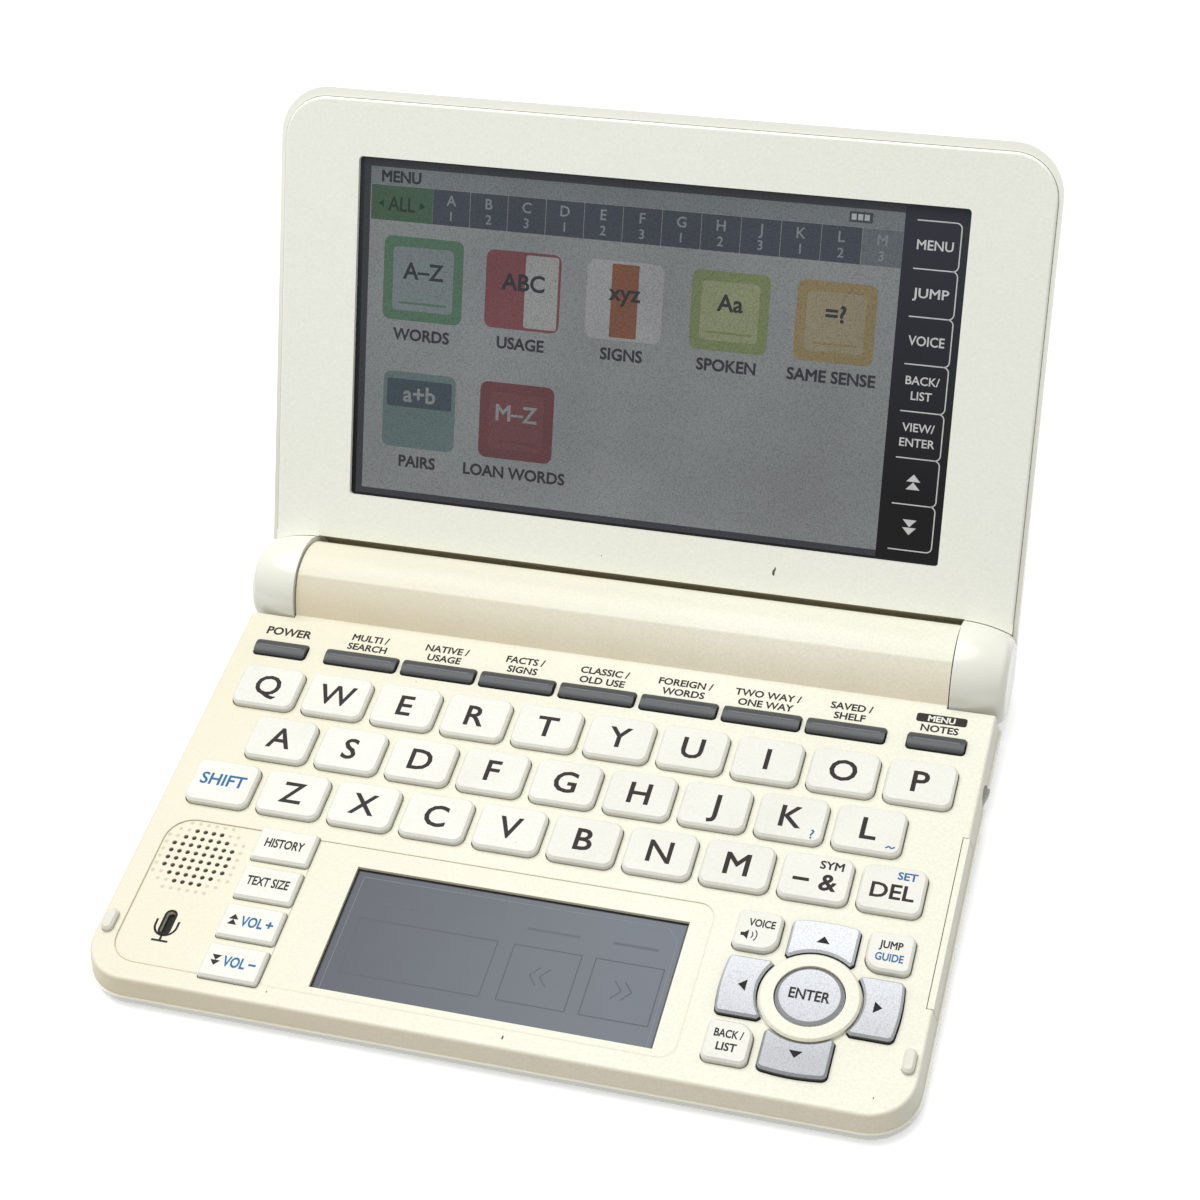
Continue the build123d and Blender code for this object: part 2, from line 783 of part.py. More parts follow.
# Silicone sheet on the board, with a raised post under each key
post_places = {
    "letter": -post_forward,
    "delete": -post_forward,
    "arrow": (arrow_reach + ring_outer) / 2,
}
with BuildPart() as key_sheet:
    with BuildSketch(Plane.XY.offset(-board_depth)) as sheet_face:
        with Locations((0, (keys_front + comb_rear) / 2)):
            Rectangle(2 * (half_deck - sheet_inset), comb_rear - keys_front)
        with Locations((stack_x, stack_y + 1.5 * stack_pitch)):
            Rectangle(stack_width, 4 * stack_pitch)
        with Locations((nav_x, nav_y)):
            Rectangle(2 * (arrow_reach - sheet_trim), 2 * (arrow_reach - sheet_trim))
        with Locations(board_screws):
            Circle(boss_radius + board_gap, mode=Mode.SUBTRACT)
        with Locations((jack_x, jack_y)):
            socket_room = 2 * (jack_radius + jack_side + jack_gap)
            Rectangle(jack_length + 2 * board_gap, socket_room, mode=Mode.SUBTRACT)
    extrude(amount=sheet_thick)
    with BuildSketch(Plane.XY.offset(sheet_z)) as posts:
        for _, shape, x, y, turn in deck_keys():
            with Locations(Location((x, y, 0), (0, 0, turn))):
                with Locations((0, post_places.get(shape, 0))):
                    Rectangle(post_size, post_size)
        for x, _ in bar_places():
            with Locations((x, bar_row)):
                Rectangle(post_size, post_size)
    extrude(amount=post_top - sheet_z)
finish(key_sheet, "key_sheet")


# Circuit board with its chips and the headphone socket
with BuildPart() as main_board:
    with BuildSketch(Plane.XY.offset(-board_depth)):
        add(hollow_outline(board_gap))
        with Locations(board_screws):
            Circle(screw_radius + screw_room, mode=Mode.SUBTRACT)
    extrude(amount=-board_thick)
    with BuildSketch(Plane.XY.offset(-board_depth - board_thick)):
        chip_row = first_row + row_pitch
        with Locations((-processor_x, chip_row), (processor_x, chip_row)):
            Rectangle(processor_side, processor_side)
        with Locations((-memory_x, chip_row), (memory_x, chip_row)):
            Rectangle(memory_width, memory_depth)
        with Locations((0, driver_y)):
            Rectangle(driver_width, driver_depth)
    extrude(amount=-chip_height)
    with BuildSketch(Plane.XY.offset(-jack_depth + jack_body / 2)):
        with Locations((jack_x, jack_y)):
            Rectangle(jack_length, 2 * (jack_radius + jack_side))
    extrude(amount=-jack_body)
    jack_place = (jack_y, -jack_depth)
    rod(jack_radius + jack_wall, jack_place, half_deck - jack_inset, half_deck - jack_gap)
    rod(jack_radius, jack_place, half_deck + overrun, half_deck - jack_length, Mode.SUBTRACT)
finish(main_board, "main_board")


# Handwriting panel, loudspeaker and the two cushions that the shut lid lands on
with BuildPart() as pad_panel:
    with BuildSketch(Plane.XY.offset(-pad_recess)):
        with Locations((pad_x, pad_y)):
            Rectangle(pad_width + 2 * pad_margin, pad_height + 2 * pad_margin)
    extrude(amount=-pad_depth)
finish(pad_panel, "pad_panel")

with BuildPart() as speaker:
    with BuildSketch(Plane.XY.offset(-deck_plate)):
        with Locations((grille_x, grille_y)):
            Circle(speaker_radius)
            Circle(speaker_radius - speaker_rim, mode=Mode.SUBTRACT)
    extrude(amount=-speaker_depth)
    with BuildSketch(Plane.XY.offset(-deck_plate - speaker_depth)):
        with Locations((grille_x, grille_y)):
            Circle(speaker_radius - speaker_rim / 2)
    extrude(amount=speaker_depth - cone_drop)
finish(speaker, "speaker")

with BuildPart() as lid_cushions:
    with BuildSketch(Plane.XY.offset(-cushion_seat)):
        for side in (-1, 1):
            with Locations((side * cushion_x, cushion_y)):
                SlotOverall(cushion_length, cushion_width, rotation=90)
    extrude(amount=cushion_seat + cushion_height)
    chamfer(lid_cushions.edges().group_by(Axis.Z)[-1], cushion_edge)
finish(lid_cushions, "lid_cushions")


# Stylus: a flat pen that is flush with the deck and the right side wall
with BuildPart() as stylus:
    with BuildSketch(Plane.XZ.offset(-stylus_front - stylus_length)) as stylus_face:
        add(stylus_section(0))
    extrude(stylus_face.sketch, amount=stylus_length)
finish(stylus, "stylus")


# Screws and feet
with BuildPart() as case_screws:
    with BuildSketch(Plane.XY.offset(-screw_depth)):
        with Locations(screw_places):
            Circle(screw_radius)
    extrude(amount=screw_depth - screw_end)
    with BuildSketch(Plane.XY.offset(-screw_depth)):
        with Locations(screw_places):
            Circle(screw_head)
    extrude(amount=-head_depth)
finish(case_screws, "case_screws")

with BuildPart() as rubber_feet:
    with BuildSketch(Plane.XY.offset(foot_seat - base_height)):
        with Locations((-front_foot_x, front_foot_y), (front_foot_x, front_foot_y)):
            Circle(front_foot_radius)
    extrude(amount=-foot_reach)
    with BuildSketch(Plane.XY.offset(rear_seat_z)):
        with Locations((-rear_foot_x, barrel_y), (rear_foot_x, barrel_y)):
            Circle(rear_foot_radius)
    extrude(amount=-foot_reach)
    split(bisect_by=table, keep=Keep.TOP)
finish(rubber_feet, "rubber_feet")


def knuckle_sections(room):
    """Half sections of both knuckles; the radius falls away towards the rounded outer end."""
    with BuildSketch() as sections:
        with BuildLine():
            inner = (half_foot - room, knuckle_radius + room)
            outer = (half_base + room, knuckle_radius - knuckle_drop + room)
            RadiusArc(outer, inner, -crown_radius)
            Polyline(inner, (half_foot - room, 0), (half_base + room, 0), outer)
        make_face()
        fillet(sections.vertices().sort_by(Axis((0, 0, 0), (1, 1, 0)))[-1], knuckle_round)
        mirror(about=Plane.YZ)
    return sections.sketch


def knuckle_tabs(room):
    """Two ends by which the bezel reaches down to the knuckles."""
    with BuildSketch(Plane.XY.offset(bezel_z - bezel_depth)) as tabs:
        for side in (-1, 1):
            with Locations((side * (half_foot + half_bezel + room) / 2, bezel_foot - bezel_tab / 2)):
                Rectangle(half_bezel + room - half_foot, bezel_tab + 2 * room)
    return tabs.sketch


# Lid cover: shallow tray with a knuckle at each end of its foot
with BuildPart() as lid_cover:
    rim_z = bezel_z - rim_step
    with BuildSketch(Plane.XY.offset(back_z)) as cover_plan:
        with Locations((0, lid_top / 2)):
            Rectangle(2 * half_base, lid_top)
        fillet(cover_plan.vertices().group_by(Axis.Y)[-1], lid_corner)
    extrude(amount=rim_z - back_z)
    back_edges = lid_cover.faces().sort_by(Axis.Z)[0].edges()
    fillet(back_edges.filter_by(lambda edge: edge.center().Y > touch), lid_round)
    # its sides fall away like the knuckles below them
    with BuildSketch(Plane.XZ) as cover_section:
        add(knuckle_sections(0))
        with Locations((0, knuckle_radius / 2)):
            Rectangle(2 * half_foot, knuckle_radius)
    extrude(cover_section.sketch.rotate(Axis.X, 180), amount=lid_top, mode=Mode.INTERSECT)
    # hollow foot between the knuckles, clear of the barrel
    rod(tail_radius, (0, 0), -half_foot, half_foot, Mode.SUBTRACT)
    with BuildSketch(Plane.XY.offset(2 * back_z)) as under_foot:
        with Locations((0, (tail_radius - tail_wall) / 2)):
            Rectangle(2 * half_foot, tail_radius - tail_wall)
    extrude(under_foot.sketch, amount=-4 * back_z, mode=Mode.SUBTRACT)
    # seat of the bezel and the deeper hollow behind the display
    with BuildSketch(Plane.XY.offset(bezel_z - bezel_depth)) as bezel_seat:
        with Locations((0, (bezel_foot + bezel_top) / 2)):
            rim = 2 * bezel_fit
            Rectangle(2 * half_bezel + rim, bezel_top - bezel_foot + rim)
        fillet(bezel_seat.vertices().group_by(Axis.Y)[-1], bezel_corner + bezel_fit)
    extrude(bezel_seat.sketch, amount=bezel_depth, mode=Mode.SUBTRACT)
    extrude(knuckle_tabs(bezel_fit), amount=bezel_depth, mode=Mode.SUBTRACT)
    with BuildSketch(Plane.XY.offset(back_z + lid_back)) as display_hollow:
        with Locations(window_centre):
            rim = 2 * (window_margin + display_room)
            Rectangle(window_width + rim, window_height + rim)
    extrude(display_hollow.sketch, amount=lid_height - lid_back, mode=Mode.SUBTRACT)
    # knuckles with the bores that turn on the shafts
    revolve(knuckle_sections(0), axis=Axis.X)
    for side in (-1, 1):
        bore_start = side * (half_foot - overrun)
        bore_end = side * (half_foot + shaft_in_knuckle + bore_room)
        rod(shaft_radius + running_fit, (0, 0), bore_start, bore_end, Mode.SUBTRACT)
finish(lid_cover, "lid_cover", lid_frame)


# Bezel round the display, with two ends that lie on the knuckles
with BuildPart() as lid_bezel:
    with BuildSketch(Plane.XY.offset(bezel_z - bezel_depth)) as bezel_outline:
        with Locations((0, (bezel_foot + bezel_top) / 2)):
            Rectangle(2 * half_bezel, bezel_top - bezel_foot)
        fillet(bezel_outline.vertices().group_by(Axis.Y)[-1], bezel_corner)
    extrude(amount=bezel_depth)
    top_rim = lid_bezel.edges().group_by(Axis.Z)[-1]
    fillet(top_rim.filter_by(lambda edge: edge.center().Y > bezel_foot + touch), bezel_edge)
    extrude(knuckle_tabs(0), amount=bezel_depth)
    revolve(knuckle_sections(bezel_fit), axis=Axis.X, mode=Mode.SUBTRACT)
    with BuildSketch(Plane.XY.offset(bezel_z)) as window_hole:
        with Locations(window_centre):
            RectangleRounded(window_width, window_height, window_corner)
    extrude(window_hole.sketch, amount=-bezel_depth, mode=Mode.SUBTRACT)
    with BuildSketch(Plane.XY.offset(bezel_z - window_recess)) as glass_pocket:
        with Locations(window_centre):
            rim = 2 * (window_margin + panel_gap)
            Rectangle(window_width + rim, window_height + rim)
    extrude(glass_pocket.sketch, amount=-bezel_depth, mode=Mode.SUBTRACT)
finish(lid_bezel, "lid_bezel", lid_frame)


# Touch glass behind the bezel and the display behind the glass
with BuildPart() as display_window:
    with BuildSketch(Plane.XY.offset(bezel_z - window_recess)):
        with Locations(window_centre):
            Rectangle(window_width + 2 * window_margin, window_height + 2 * window_margin)
    extrude(amount=-glass)
finish(display_window, "display_window", lid_frame)

with BuildPart() as display_panel:
    with BuildSketch(Plane.XY.offset(bezel_z - window_recess - glass)):
        with Locations(window_centre):
            Rectangle(window_width, window_height)
    extrude(amount=-display_depth)
finish(display_panel, "display_panel", lid_frame)


# Every piece goes to its place on the table, with the origin under the middle of the whole
placed = [part.moved(table.location.inverse() * frame.location) for part, _, frame in pieces]
whole = Compound(children=placed).bounding_box()
middle = Location((-(whole.min.X + whole.max.X) / 2, -(whole.min.Y + whole.max.Y) / 2, 0))
stand = middle * table.location.inverse()

if __name__ == "__main__":
    os.makedirs("parts", exist_ok=True)
    for part, name, frame in pieces:
        part.move(stand * frame.location)
        export_step(part, f"parts/{name}.step")
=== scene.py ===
import bpy
import bmesh
import json
import math
from mathutils import Matrix, Vector


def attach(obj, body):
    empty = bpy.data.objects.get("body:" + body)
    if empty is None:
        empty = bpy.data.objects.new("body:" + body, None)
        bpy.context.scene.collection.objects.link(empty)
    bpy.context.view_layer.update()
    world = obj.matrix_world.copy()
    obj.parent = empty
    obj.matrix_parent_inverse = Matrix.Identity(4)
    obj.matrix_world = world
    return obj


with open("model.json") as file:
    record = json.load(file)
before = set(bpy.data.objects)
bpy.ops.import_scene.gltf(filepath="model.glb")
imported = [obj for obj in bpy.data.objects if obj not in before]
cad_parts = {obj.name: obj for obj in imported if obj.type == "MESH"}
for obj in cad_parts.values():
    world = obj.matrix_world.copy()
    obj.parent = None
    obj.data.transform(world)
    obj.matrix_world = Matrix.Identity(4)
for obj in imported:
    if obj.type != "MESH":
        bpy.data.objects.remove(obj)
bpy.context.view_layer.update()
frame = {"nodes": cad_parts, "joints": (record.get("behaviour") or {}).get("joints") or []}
nodes = frame["nodes"]
joints = {joint["name"]: joint for joint in frame["joints"]}
print("frame loaded:", len(nodes), "nodes")

# places on the part are given in millimetres: on the deck from its front edge, on the lid from
# the foot of the bezel
mm = 0.001
layout = {
    "navX": 52.7, "navY": 19.55,
    "openAngle": 122.2, "hingeToBezel": 9.647, "bezelDepth": 2.78,
    "inkLift": 0.015, "layer": 0.01, "fieldSink": 0.15, "topDepth": 0.05,
}

across = Vector((1, 0, 0))
deckUp = Vector(joints["key_enter_press"]["axis"])
deckBack = deckUp.cross(across)
enterPlace = Vector(joints["key_enter_press"]["pos_m"])
deckOrigin = enterPlace - layout["navX"] * mm * across - layout["navY"] * mm * deckBack


def frameMatrix(origin, back, up):
    matrix = Matrix((across, back, up)).transposed().to_4x4()
    matrix.translation = origin
    return matrix @ Matrix.Scale(mm, 4)


deckFrame = frameMatrix(deckOrigin, deckBack, deckUp)
openTurn = math.radians(layout["openAngle"])
lidUp = -math.cos(openTurn) * deckBack + math.sin(openTurn) * deckUp
lidOut = across.cross(lidUp)
hingePlace = Vector(joints["lid_hinge"]["pos_m"])
lidOrigin = hingePlace + lidUp * layout["hingeToBezel"] * mm - lidOut * layout["bezelDepth"] * mm
lidFrame = frameMatrix(lidOrigin, lidUp, lidOut)


def shifted(base, x=0, y=0, z=0, turn=0):
    return base @ Matrix.Translation((x, y, z)) @ Matrix.Rotation(math.radians(turn), 4, "Z")


def newPiece(name, data):
    piece = bpy.data.objects.new(name, data)
    bpy.context.scene.collection.objects.link(piece)
    return piece


def newMesh(name, shape, material):
    mesh = bpy.data.meshes.new(name)
    shape.to_mesh(mesh)
    shape.free()
    mesh.materials.append(material)
    return mesh


def flatten(holder):
    # the shape of an object as a plain mesh; the object itself goes
    bpy.context.view_layer.update()
    shown = holder.evaluated_get(bpy.context.evaluated_depsgraph_get())
    mesh = bpy.data.meshes.new_from_object(shown)
    bpy.data.objects.remove(holder)
    return mesh


def newTree(kind, name, inputs, outputs):
    tree = bpy.data.node_groups.new(name, kind)
    for way, sockets in (("INPUT", inputs), ("OUTPUT", outputs)):
        for socketName, socketKind in sockets.items():
            tree.interface.new_socket(socketName, in_out=way,
                                      socket_type="NodeSocket" + socketKind)
    return tree, tree.nodes.new("NodeGroupInput").outputs, tree.nodes.new("NodeGroupOutput").inputs


def addNode(tree, kind, inputs, **settings):
    # an input that is given as a socket is linked, anything else is its value
    node = tree.nodes.new(kind)
    for key, value in settings.items():
        setattr(node, key, value)
    for key, value in inputs.items():
        if isinstance(value, bpy.types.NodeSocket):
            tree.links.new(value, node.inputs[key])
        else:
            node.inputs[key].default_value = value
    return node


class Shading:
    # a shader tree, and the coordinates of its textures
    def __init__(self, tree, where=None):
        self.tree, self.where = tree, where

    def add(self, kind, inputs, **settings):
        return addNode(self.tree, "ShaderNode" + kind, inputs, **settings).outputs

    def noise(self, scale, detail, roughness=0.5):
        return self.add("TexNoise", {"Vector": self.where, "Scale": scale, "Detail": detail,
                                     "Roughness": roughness})["Fac"]

    def cells(self, scale):
        return self.add("TexVoronoi", {"Vector": self.where, "Scale": scale})

    def mapRange(self, value, low, high, outLow=0.0, outHigh=1.0):
        return self.add("MapRange", {"Value": value, "From Min": low, "From Max": high,
                                     "To Min": outLow, "To Max": outHigh})[0]

    def calc(self, operation, *values):
        return self.add("Math", dict(enumerate(values)), operation=operation)[0]

    def mix(self, share, first, second, **settings):
        tints = {"Factor": share}
        for index, tint in ((6, first), (7, second)):
            tints[index] = tint if isinstance(tint, bpy.types.NodeSocket) else (*tint, 1)
        return self.add("Mix", tints, data_type="RGBA", **settings)[2]

    def scaled(self, tint, share):
        return self.add("VectorMath", {0: tint, "Scale": share}, operation="SCALE")[0]

    def axis(self, name):
        return self.add("SeparateXYZ", {0: self.where})[name]

    def facing(self, direction, low, high):
        # 0 to 1 as a face turns towards the direction
        normal = self.add("NewGeometry", {})["Normal"]
        made = self.add("VectorMath", {0: normal, 1: direction}, operation="DOT_PRODUCT")
        return self.mapRange(made["Value"], low, high)


def makeGrain():
    # fine moulded texture: a height for Bump and a small change of roughness
    values = {"fineDetail": 2.0, "broad": (90.0, 3.0), "middle": 0.5, "spread": 0.1}
    tree, given, result = newTree(
        "ShaderNodeTree", "mouldedGrain",
        {"Vector": "Vector", "Scale": "Float", "Roughness": "Float"},
        {"Height": "Float", "Roughness": "Float"})
    group = Shading(tree, given["Vector"])
    centred = group.calc("SUBTRACT", group.noise(*values["broad"]), values["middle"])
    spread = group.calc("MULTIPLY", centred, values["spread"])
    tree.links.new(group.noise(given["Scale"], values["fineDetail"]), result["Height"])
    tree.links.new(group.calc("ADD", spread, given["Roughness"]), result["Roughness"])
    return tree


def makeHandling():
    # old plastic: warm patches, a sandy surface and a few dark specks
    values = {
        "patches": (38.0, 5.0, 0.6), "patchRange": (0.45, 0.75),
        "specks": 230.0, "speckRange": (0.045, 0.03), "rare": 0.93, "speckTint": (0.12, 0.10, 0.07),
        "sand": (2100.0, 2.0), "sandRange": (0.3, 0.7, -0.065, 0.05),
    }
    tree, given, result = newTree(
        "ShaderNodeTree", "handling",
        {"Vector": "Vector", "Color": "Color", "Warm": "Color", "Patches": "Float",
         "Specks": "Float", "Sand": "Float"},
        {"Color": "Color"})
    group = Shading(tree, given["Vector"])
    patches = group.mapRange(group.noise(*values["patches"]), *values["patchRange"])
    patchShare = group.calc("MULTIPLY", patches, given["Patches"])
    warmed = group.mix(patchShare, given["Color"], given["Warm"])
    spots = group.cells(values["specks"])
    chance = group.add("SeparateColor", {0: spots["Color"]})[0]
    chosen = group.calc("MULTIPLY", group.mapRange(spots["Distance"], *values["speckRange"]),
                        group.calc("GREATER_THAN", chance, values["rare"]))
    marked = group.mix(group.calc("MULTIPLY", chosen, given["Specks"]), warmed, values["speckTint"])
    sand = group.mapRange(group.noise(*values["sand"]), *values["sandRange"])
    sanded = group.scaled(marked, group.calc("MULTIPLY_ADD", sand, given["Sand"], 1.0))
    tree.links.new(sanded, result["Color"])
    return tree


grainGroup = makeGrain()
handlingGroup = makeHandling()


class Surface(Shading):
    # a Principled material whose textures follow the part's own coordinates
    def __init__(self, name, roughness, sockets=None):
        self.material = bpy.data.materials.new(name)
        self.material.use_nodes = True
        tree = self.material.node_tree
        super().__init__(tree, tree.nodes.new("ShaderNodeTexCoord").outputs["Object"])
        self.shader = tree.nodes["Principled BSDF"].inputs
        for key, value in {"Roughness": roughness, **(sockets or {})}.items():
            self.shader[key].default_value = value

    def link(self, key, socket):
        self.tree.links.new(socket, self.shader[key])

    def paint(self, socket):
        self.link("Base Color", socket)

    def grain(self, scale, strength, roughness):
        depth = 0.02 * mm
        made = self.add("Group", {"Vector": self.where, "Scale": scale, "Roughness": roughness},
                        node_tree=grainGroup)
        bump = self.add("Bump", {"Height": made["Height"], "Strength": strength,
                                 "Distance": depth})
        self.link("Normal", bump["Normal"])
        self.link("Roughness", made["Roughness"])


# name, tint, warm tint, share of patches and of specks, roughness, scale and strength of the
# grain, then the share of sand and what else the surface has
plastics = {
    "cream": ("creamCase", (0.77, 0.765, 0.645), (0.68, 0.63, 0.45), 0.16, 0.6, 0.42, 2200, 1.0,
              0.85),
    "gloss": ("glossWhite", (0.79, 0.79, 0.70), (0.72, 0.70, 0.57), 0.1, 0.3, 0.24, 1400, 0.05,
              0.15, {"Coat Weight": 0.4, "Coat Roughness": 0.08}),
    "bezel": ("bezelWhite", (0.93, 0.94, 0.845), (0.86, 0.84, 0.69), 0.12, 0.8, 0.38, 3200, 0.2),
    "key": ("keyIvory", (0.75, 0.745, 0.68), (0.60, 0.585, 0.51), 0.4, 0.8, 0.42, 2400, 0.3),
    "bar": ("barGrey", (0.042, 0.045, 0.049), (0.10, 0.095, 0.09), 0.25, 0.0, 0.36, 2600, 0.25),
    "polished": ("polishedRim", (0.40, 0.41, 0.43), (0.33, 0.33, 0.34), 0.2, 0.0, 0.22, 1800, 0.1,
                 0.6, {"Metallic": 0.5}),
    "rubber": ("paleRubber", (0.70, 0.69, 0.60), (0.6, 0.56, 0.45), 0.2, 0.4, 0.62, 1800, 0.4),
    "silicone": ("clearSilicone", (0.62, 0.62, 0.58), (0.6, 0.58, 0.5), 0.1, 0.0, 0.5, 1500, 0.2),
    "wrap": ("cellWrap", (0.05, 0.05, 0.055), (0.08, 0.08, 0.08), 0.2, 0.0, 0.3, 900, 0.1),
    "cone": ("speakerCone", (0.02, 0.02, 0.02), (0.03, 0.03, 0.03), 0.2, 0.0, 0.6, 1500, 0.3),
    # the slit material: a dark sheet of painted shade for the deep shadow in the hinge slit
    "slit": ("paintedSlitShade", (0.42, 0.37, 0.24), (0.34, 0.29, 0.18), 0.3, 0.0, 0.9, 1500, 0.4),
    # the dimple material: flat discs of painted shade for the grille's dimples
    "dimple": ("dimpleShade", (0.60, 0.56, 0.43), (0.52, 0.46, 0.32), 0.3, 0.0, 0.6, 2400, 0.3),
}


def plastic(name, tint, warm, patches, specks, roughness, scale, strength, sand=0.6, sockets=None):
    surface = Surface(name, roughness, sockets)
    surface.grain(scale, strength, roughness)
    surface.tint = surface.add("Group", {
        "Vector": surface.where, "Color": (*tint, 1), "Warm": (*warm, 1), "Patches": patches,
        "Specks": specks, "Sand": sand}, node_tree=handlingGroup)["Color"]
    surface.paint(surface.tint)
    return surface


surfaces = {key: plastic(*values) for key, values in plastics.items()}


def ageCreamAndPaintBounce(cream):
    # a little yellower towards the left front, and painted warm bounce light that makes faces
    # turned to the front warmer and brighter
    values = {"aged": (0.68, 0.63, 0.46), "agedShare": 0.6, "agedRange": (0.02, -0.075),
              "front": (1.13, 1.045, 0.975), "paintedBounceRange": (0.55, 0.9)}
    slope = cream.mapRange(cream.axis("X"), *values["agedRange"])
    aged = cream.mix(cream.calc("MULTIPLY", slope, values["agedShare"]), cream.tint, values["aged"])
    # painted bounce light: faces turned to the front are tinted warmer and brighter
    share = cream.facing(-deckBack, *values["paintedBounceRange"])
    cream.paint(cream.mix(share, aged, values["front"], blend_type="MULTIPLY"))


def paintGlossHighlight(gloss):
    # painted highlight: whiter towards the upper edge of the open lid, where the top rim faces the
    # light
    values = {"paintedHighlight": (0.95, 0.955, 0.86), "paintedHighlightRange": (0.03, 0.07)}
    # painted highlight: the tint turns whiter with height
    height = gloss.mapRange(gloss.axis("Z"), *values["paintedHighlightRange"])
    gloss.paint(gloss.mix(height, gloss.tint, values["paintedHighlight"]))


def silverLacquer():
    # silver paint with fine flakes under a satin top coat; the steep sides get a dark painted
    # shade, and painted light makes the rear keys brighter and the front ones darker
    values = {"light": (0.53, 0.545, 0.57), "dark": (0.35, 0.36, 0.38), "flakes": 4200.0,
              "flakeRange": (0.0, 0.9), "shadedSide": (0.055, 0.055, 0.057), "shadedSideRange": (0.2, 0.5),
              "reach": 0.012, "fall": (0.74, 1.3), "grain": (3000, 0.3, 0.38)}
    silver = Surface("silverLacquer", 0.36, {"Metallic": 0.3, "Coat Weight": 0.15,
                                             "Coat Roughness": 0.2})
    shade = silver.mapRange(silver.cells(values["flakes"])["Distance"], *values["flakeRange"])
    # painted light: the tops are brighter towards the rear keys and darker towards the front ones
    fall = silver.mapRange(silver.axis("Y"), enterPlace.y - values["reach"],
                           enterPlace.y + values["reach"], *values["fall"])
    paint = silver.scaled(silver.mix(shade, values["light"], values["dark"]), fall)
    # painted shade: faces steeper than the tops take the dark side tint
    painted = silver.facing(deckUp, *values["shadedSideRange"])
    silver.paint(silver.mix(painted, values["shadedSide"], paint))
    silver.grain(*values["grain"])
    return silver


def darkGlass():
    # touch glass over a black printed border, with a blue-grey haze of dust towards its upper edge
    values = {"dark": (0.008, 0.007, 0.008), "light": (0.016, 0.015, 0.017), "smears": (55.0, 6.0),
              "roughRange": (0.0, 1.0, 0.1, 0.3), "haze": (0.034, 0.038, 0.050),
              "hazeRange": (0.035, 0.08)}
    glass = Surface("darkGlass", 0.12, {"Specular IOR Level": 0.18, "Coat Weight": 0.05,
                                        "Coat Roughness": 0.05})
    smears = glass.noise(*values["smears"])
    glass.link("Roughness", glass.mapRange(smears, *values["roughRange"]))
    height = glass.mapRange(glass.axis("Z"), *values["hazeRange"])
    tint = glass.mix(smears, values["dark"], values["light"])
    glass.paint(glass.mix(height, tint, values["haze"]))
    return glass


def padFilm():
    # handwriting display: blue-grey under a satin film, lighter towards the right
    values = {"dark": (0.048, 0.054, 0.073), "light": (0.108, 0.126, 0.149), "mist": (60.0, 5.0),
              "mistShare": 0.3, "range": (-0.03, 0.03), "grain": (5000, 0.05, 0.3)}
    film = Surface("padFilm", 0.3, {"Specular IOR Level": 0.3, "Coat Weight": 0.1,
                                    "Coat Roughness": 0.15})
    slope = film.mapRange(film.axis("X"), *values["range"])
    mist = film.calc("MULTIPLY", film.noise(*values["mist"]), values["mistShare"])
    share = film.calc("ADD", slope, mist)
    film.paint(film.mix(share, values["dark"], values["light"]))
    film.grain(*values["grain"])
    return film


def tintOf(surface):
    # the tint that each printed face carries
    return surface.add("Attribute", {}, attribute_name="tint")["Color"]


def printedInk(name, roughness, sockets):
    # slightly worn ink; the painted shade and highlight lines drawn with the ink share it
    values = {"wear": (900.0, 4.0), "wearRange": (0.35, 0.75, 1.0, 0.86)}
    marks = Surface(name, roughness, sockets)
    share = marks.mapRange(marks.noise(*values["wear"]), *values["wearRange"])
    marks.paint(marks.scaled(tintOf(marks), share))
    return marks


def displayPicture():
    # unlit liquid crystal picture with the fine grain of its dots
    values = {"dots": 3300.0, "dotRange": (0.0, 0.8, 1.22, 0.77), "mist": (45.0, 4.0),
              "mistRange": (0.3, 0.7, 0.9, 1.08)}
    screen = Surface("displayPicture", 0.3, {"Specular IOR Level": 0.35, "Coat Weight": 0.3,
                                             "Coat Roughness": 0.1})
    dots = screen.mapRange(screen.cells(values["dots"])["Distance"], *values["dotRange"])
    mist = screen.mapRange(screen.noise(*values["mist"]), *values["mistRange"])
    share = screen.calc("MULTIPLY", dots, mist)
    screen.paint(screen.scaled(tintOf(screen), share))
    return screen


def plainMetal(name, tint, roughness):
    values = {"streaks": (500.0, 3.0), "smooth": 0.8, "rough": 1.3, "darker": 0.85}
    metal = Surface(name, roughness, {"Metallic": 1.0})
    streaks = metal.noise(*values["streaks"])
    metal.link("Roughness", metal.mapRange(streaks, 0.0, 1.0, roughness * values["smooth"],
                                           roughness * values["rough"]))
    darker = [part * values["darker"] for part in tint]
    metal.paint(metal.mix(streaks, tint, darker))
    return metal


def boardGreen():
    # green board with its tracks, and a pale socket at the right wall
    values = {"first": (0.02, 0.16, 0.06, 1), "second": (0.03, 0.20, 0.08, 1),
              "gap": (0.05, 0.27, 0.12, 1), "scale": 240.0, "gapSize": 0.06,
              "socket": (0.30, 0.29, 0.31), "socketFrom": 0.0695, "grain": (1800, 0.1, 0.4)}
    board = Surface("boardGreen", 0.4)
    tracks = board.add("TexBrick", {
        "Vector": board.where, "Scale": values["scale"], "Mortar Size": values["gapSize"],
        "Color1": values["first"], "Color2": values["second"], "Mortar": values["gap"]})
    socketSide = board.calc("GREATER_THAN", board.axis("X"), values["socketFrom"])
    board.paint(board.mix(socketSide, tracks["Color"], values["socket"]))
    board.grain(*values["grain"])
    return board


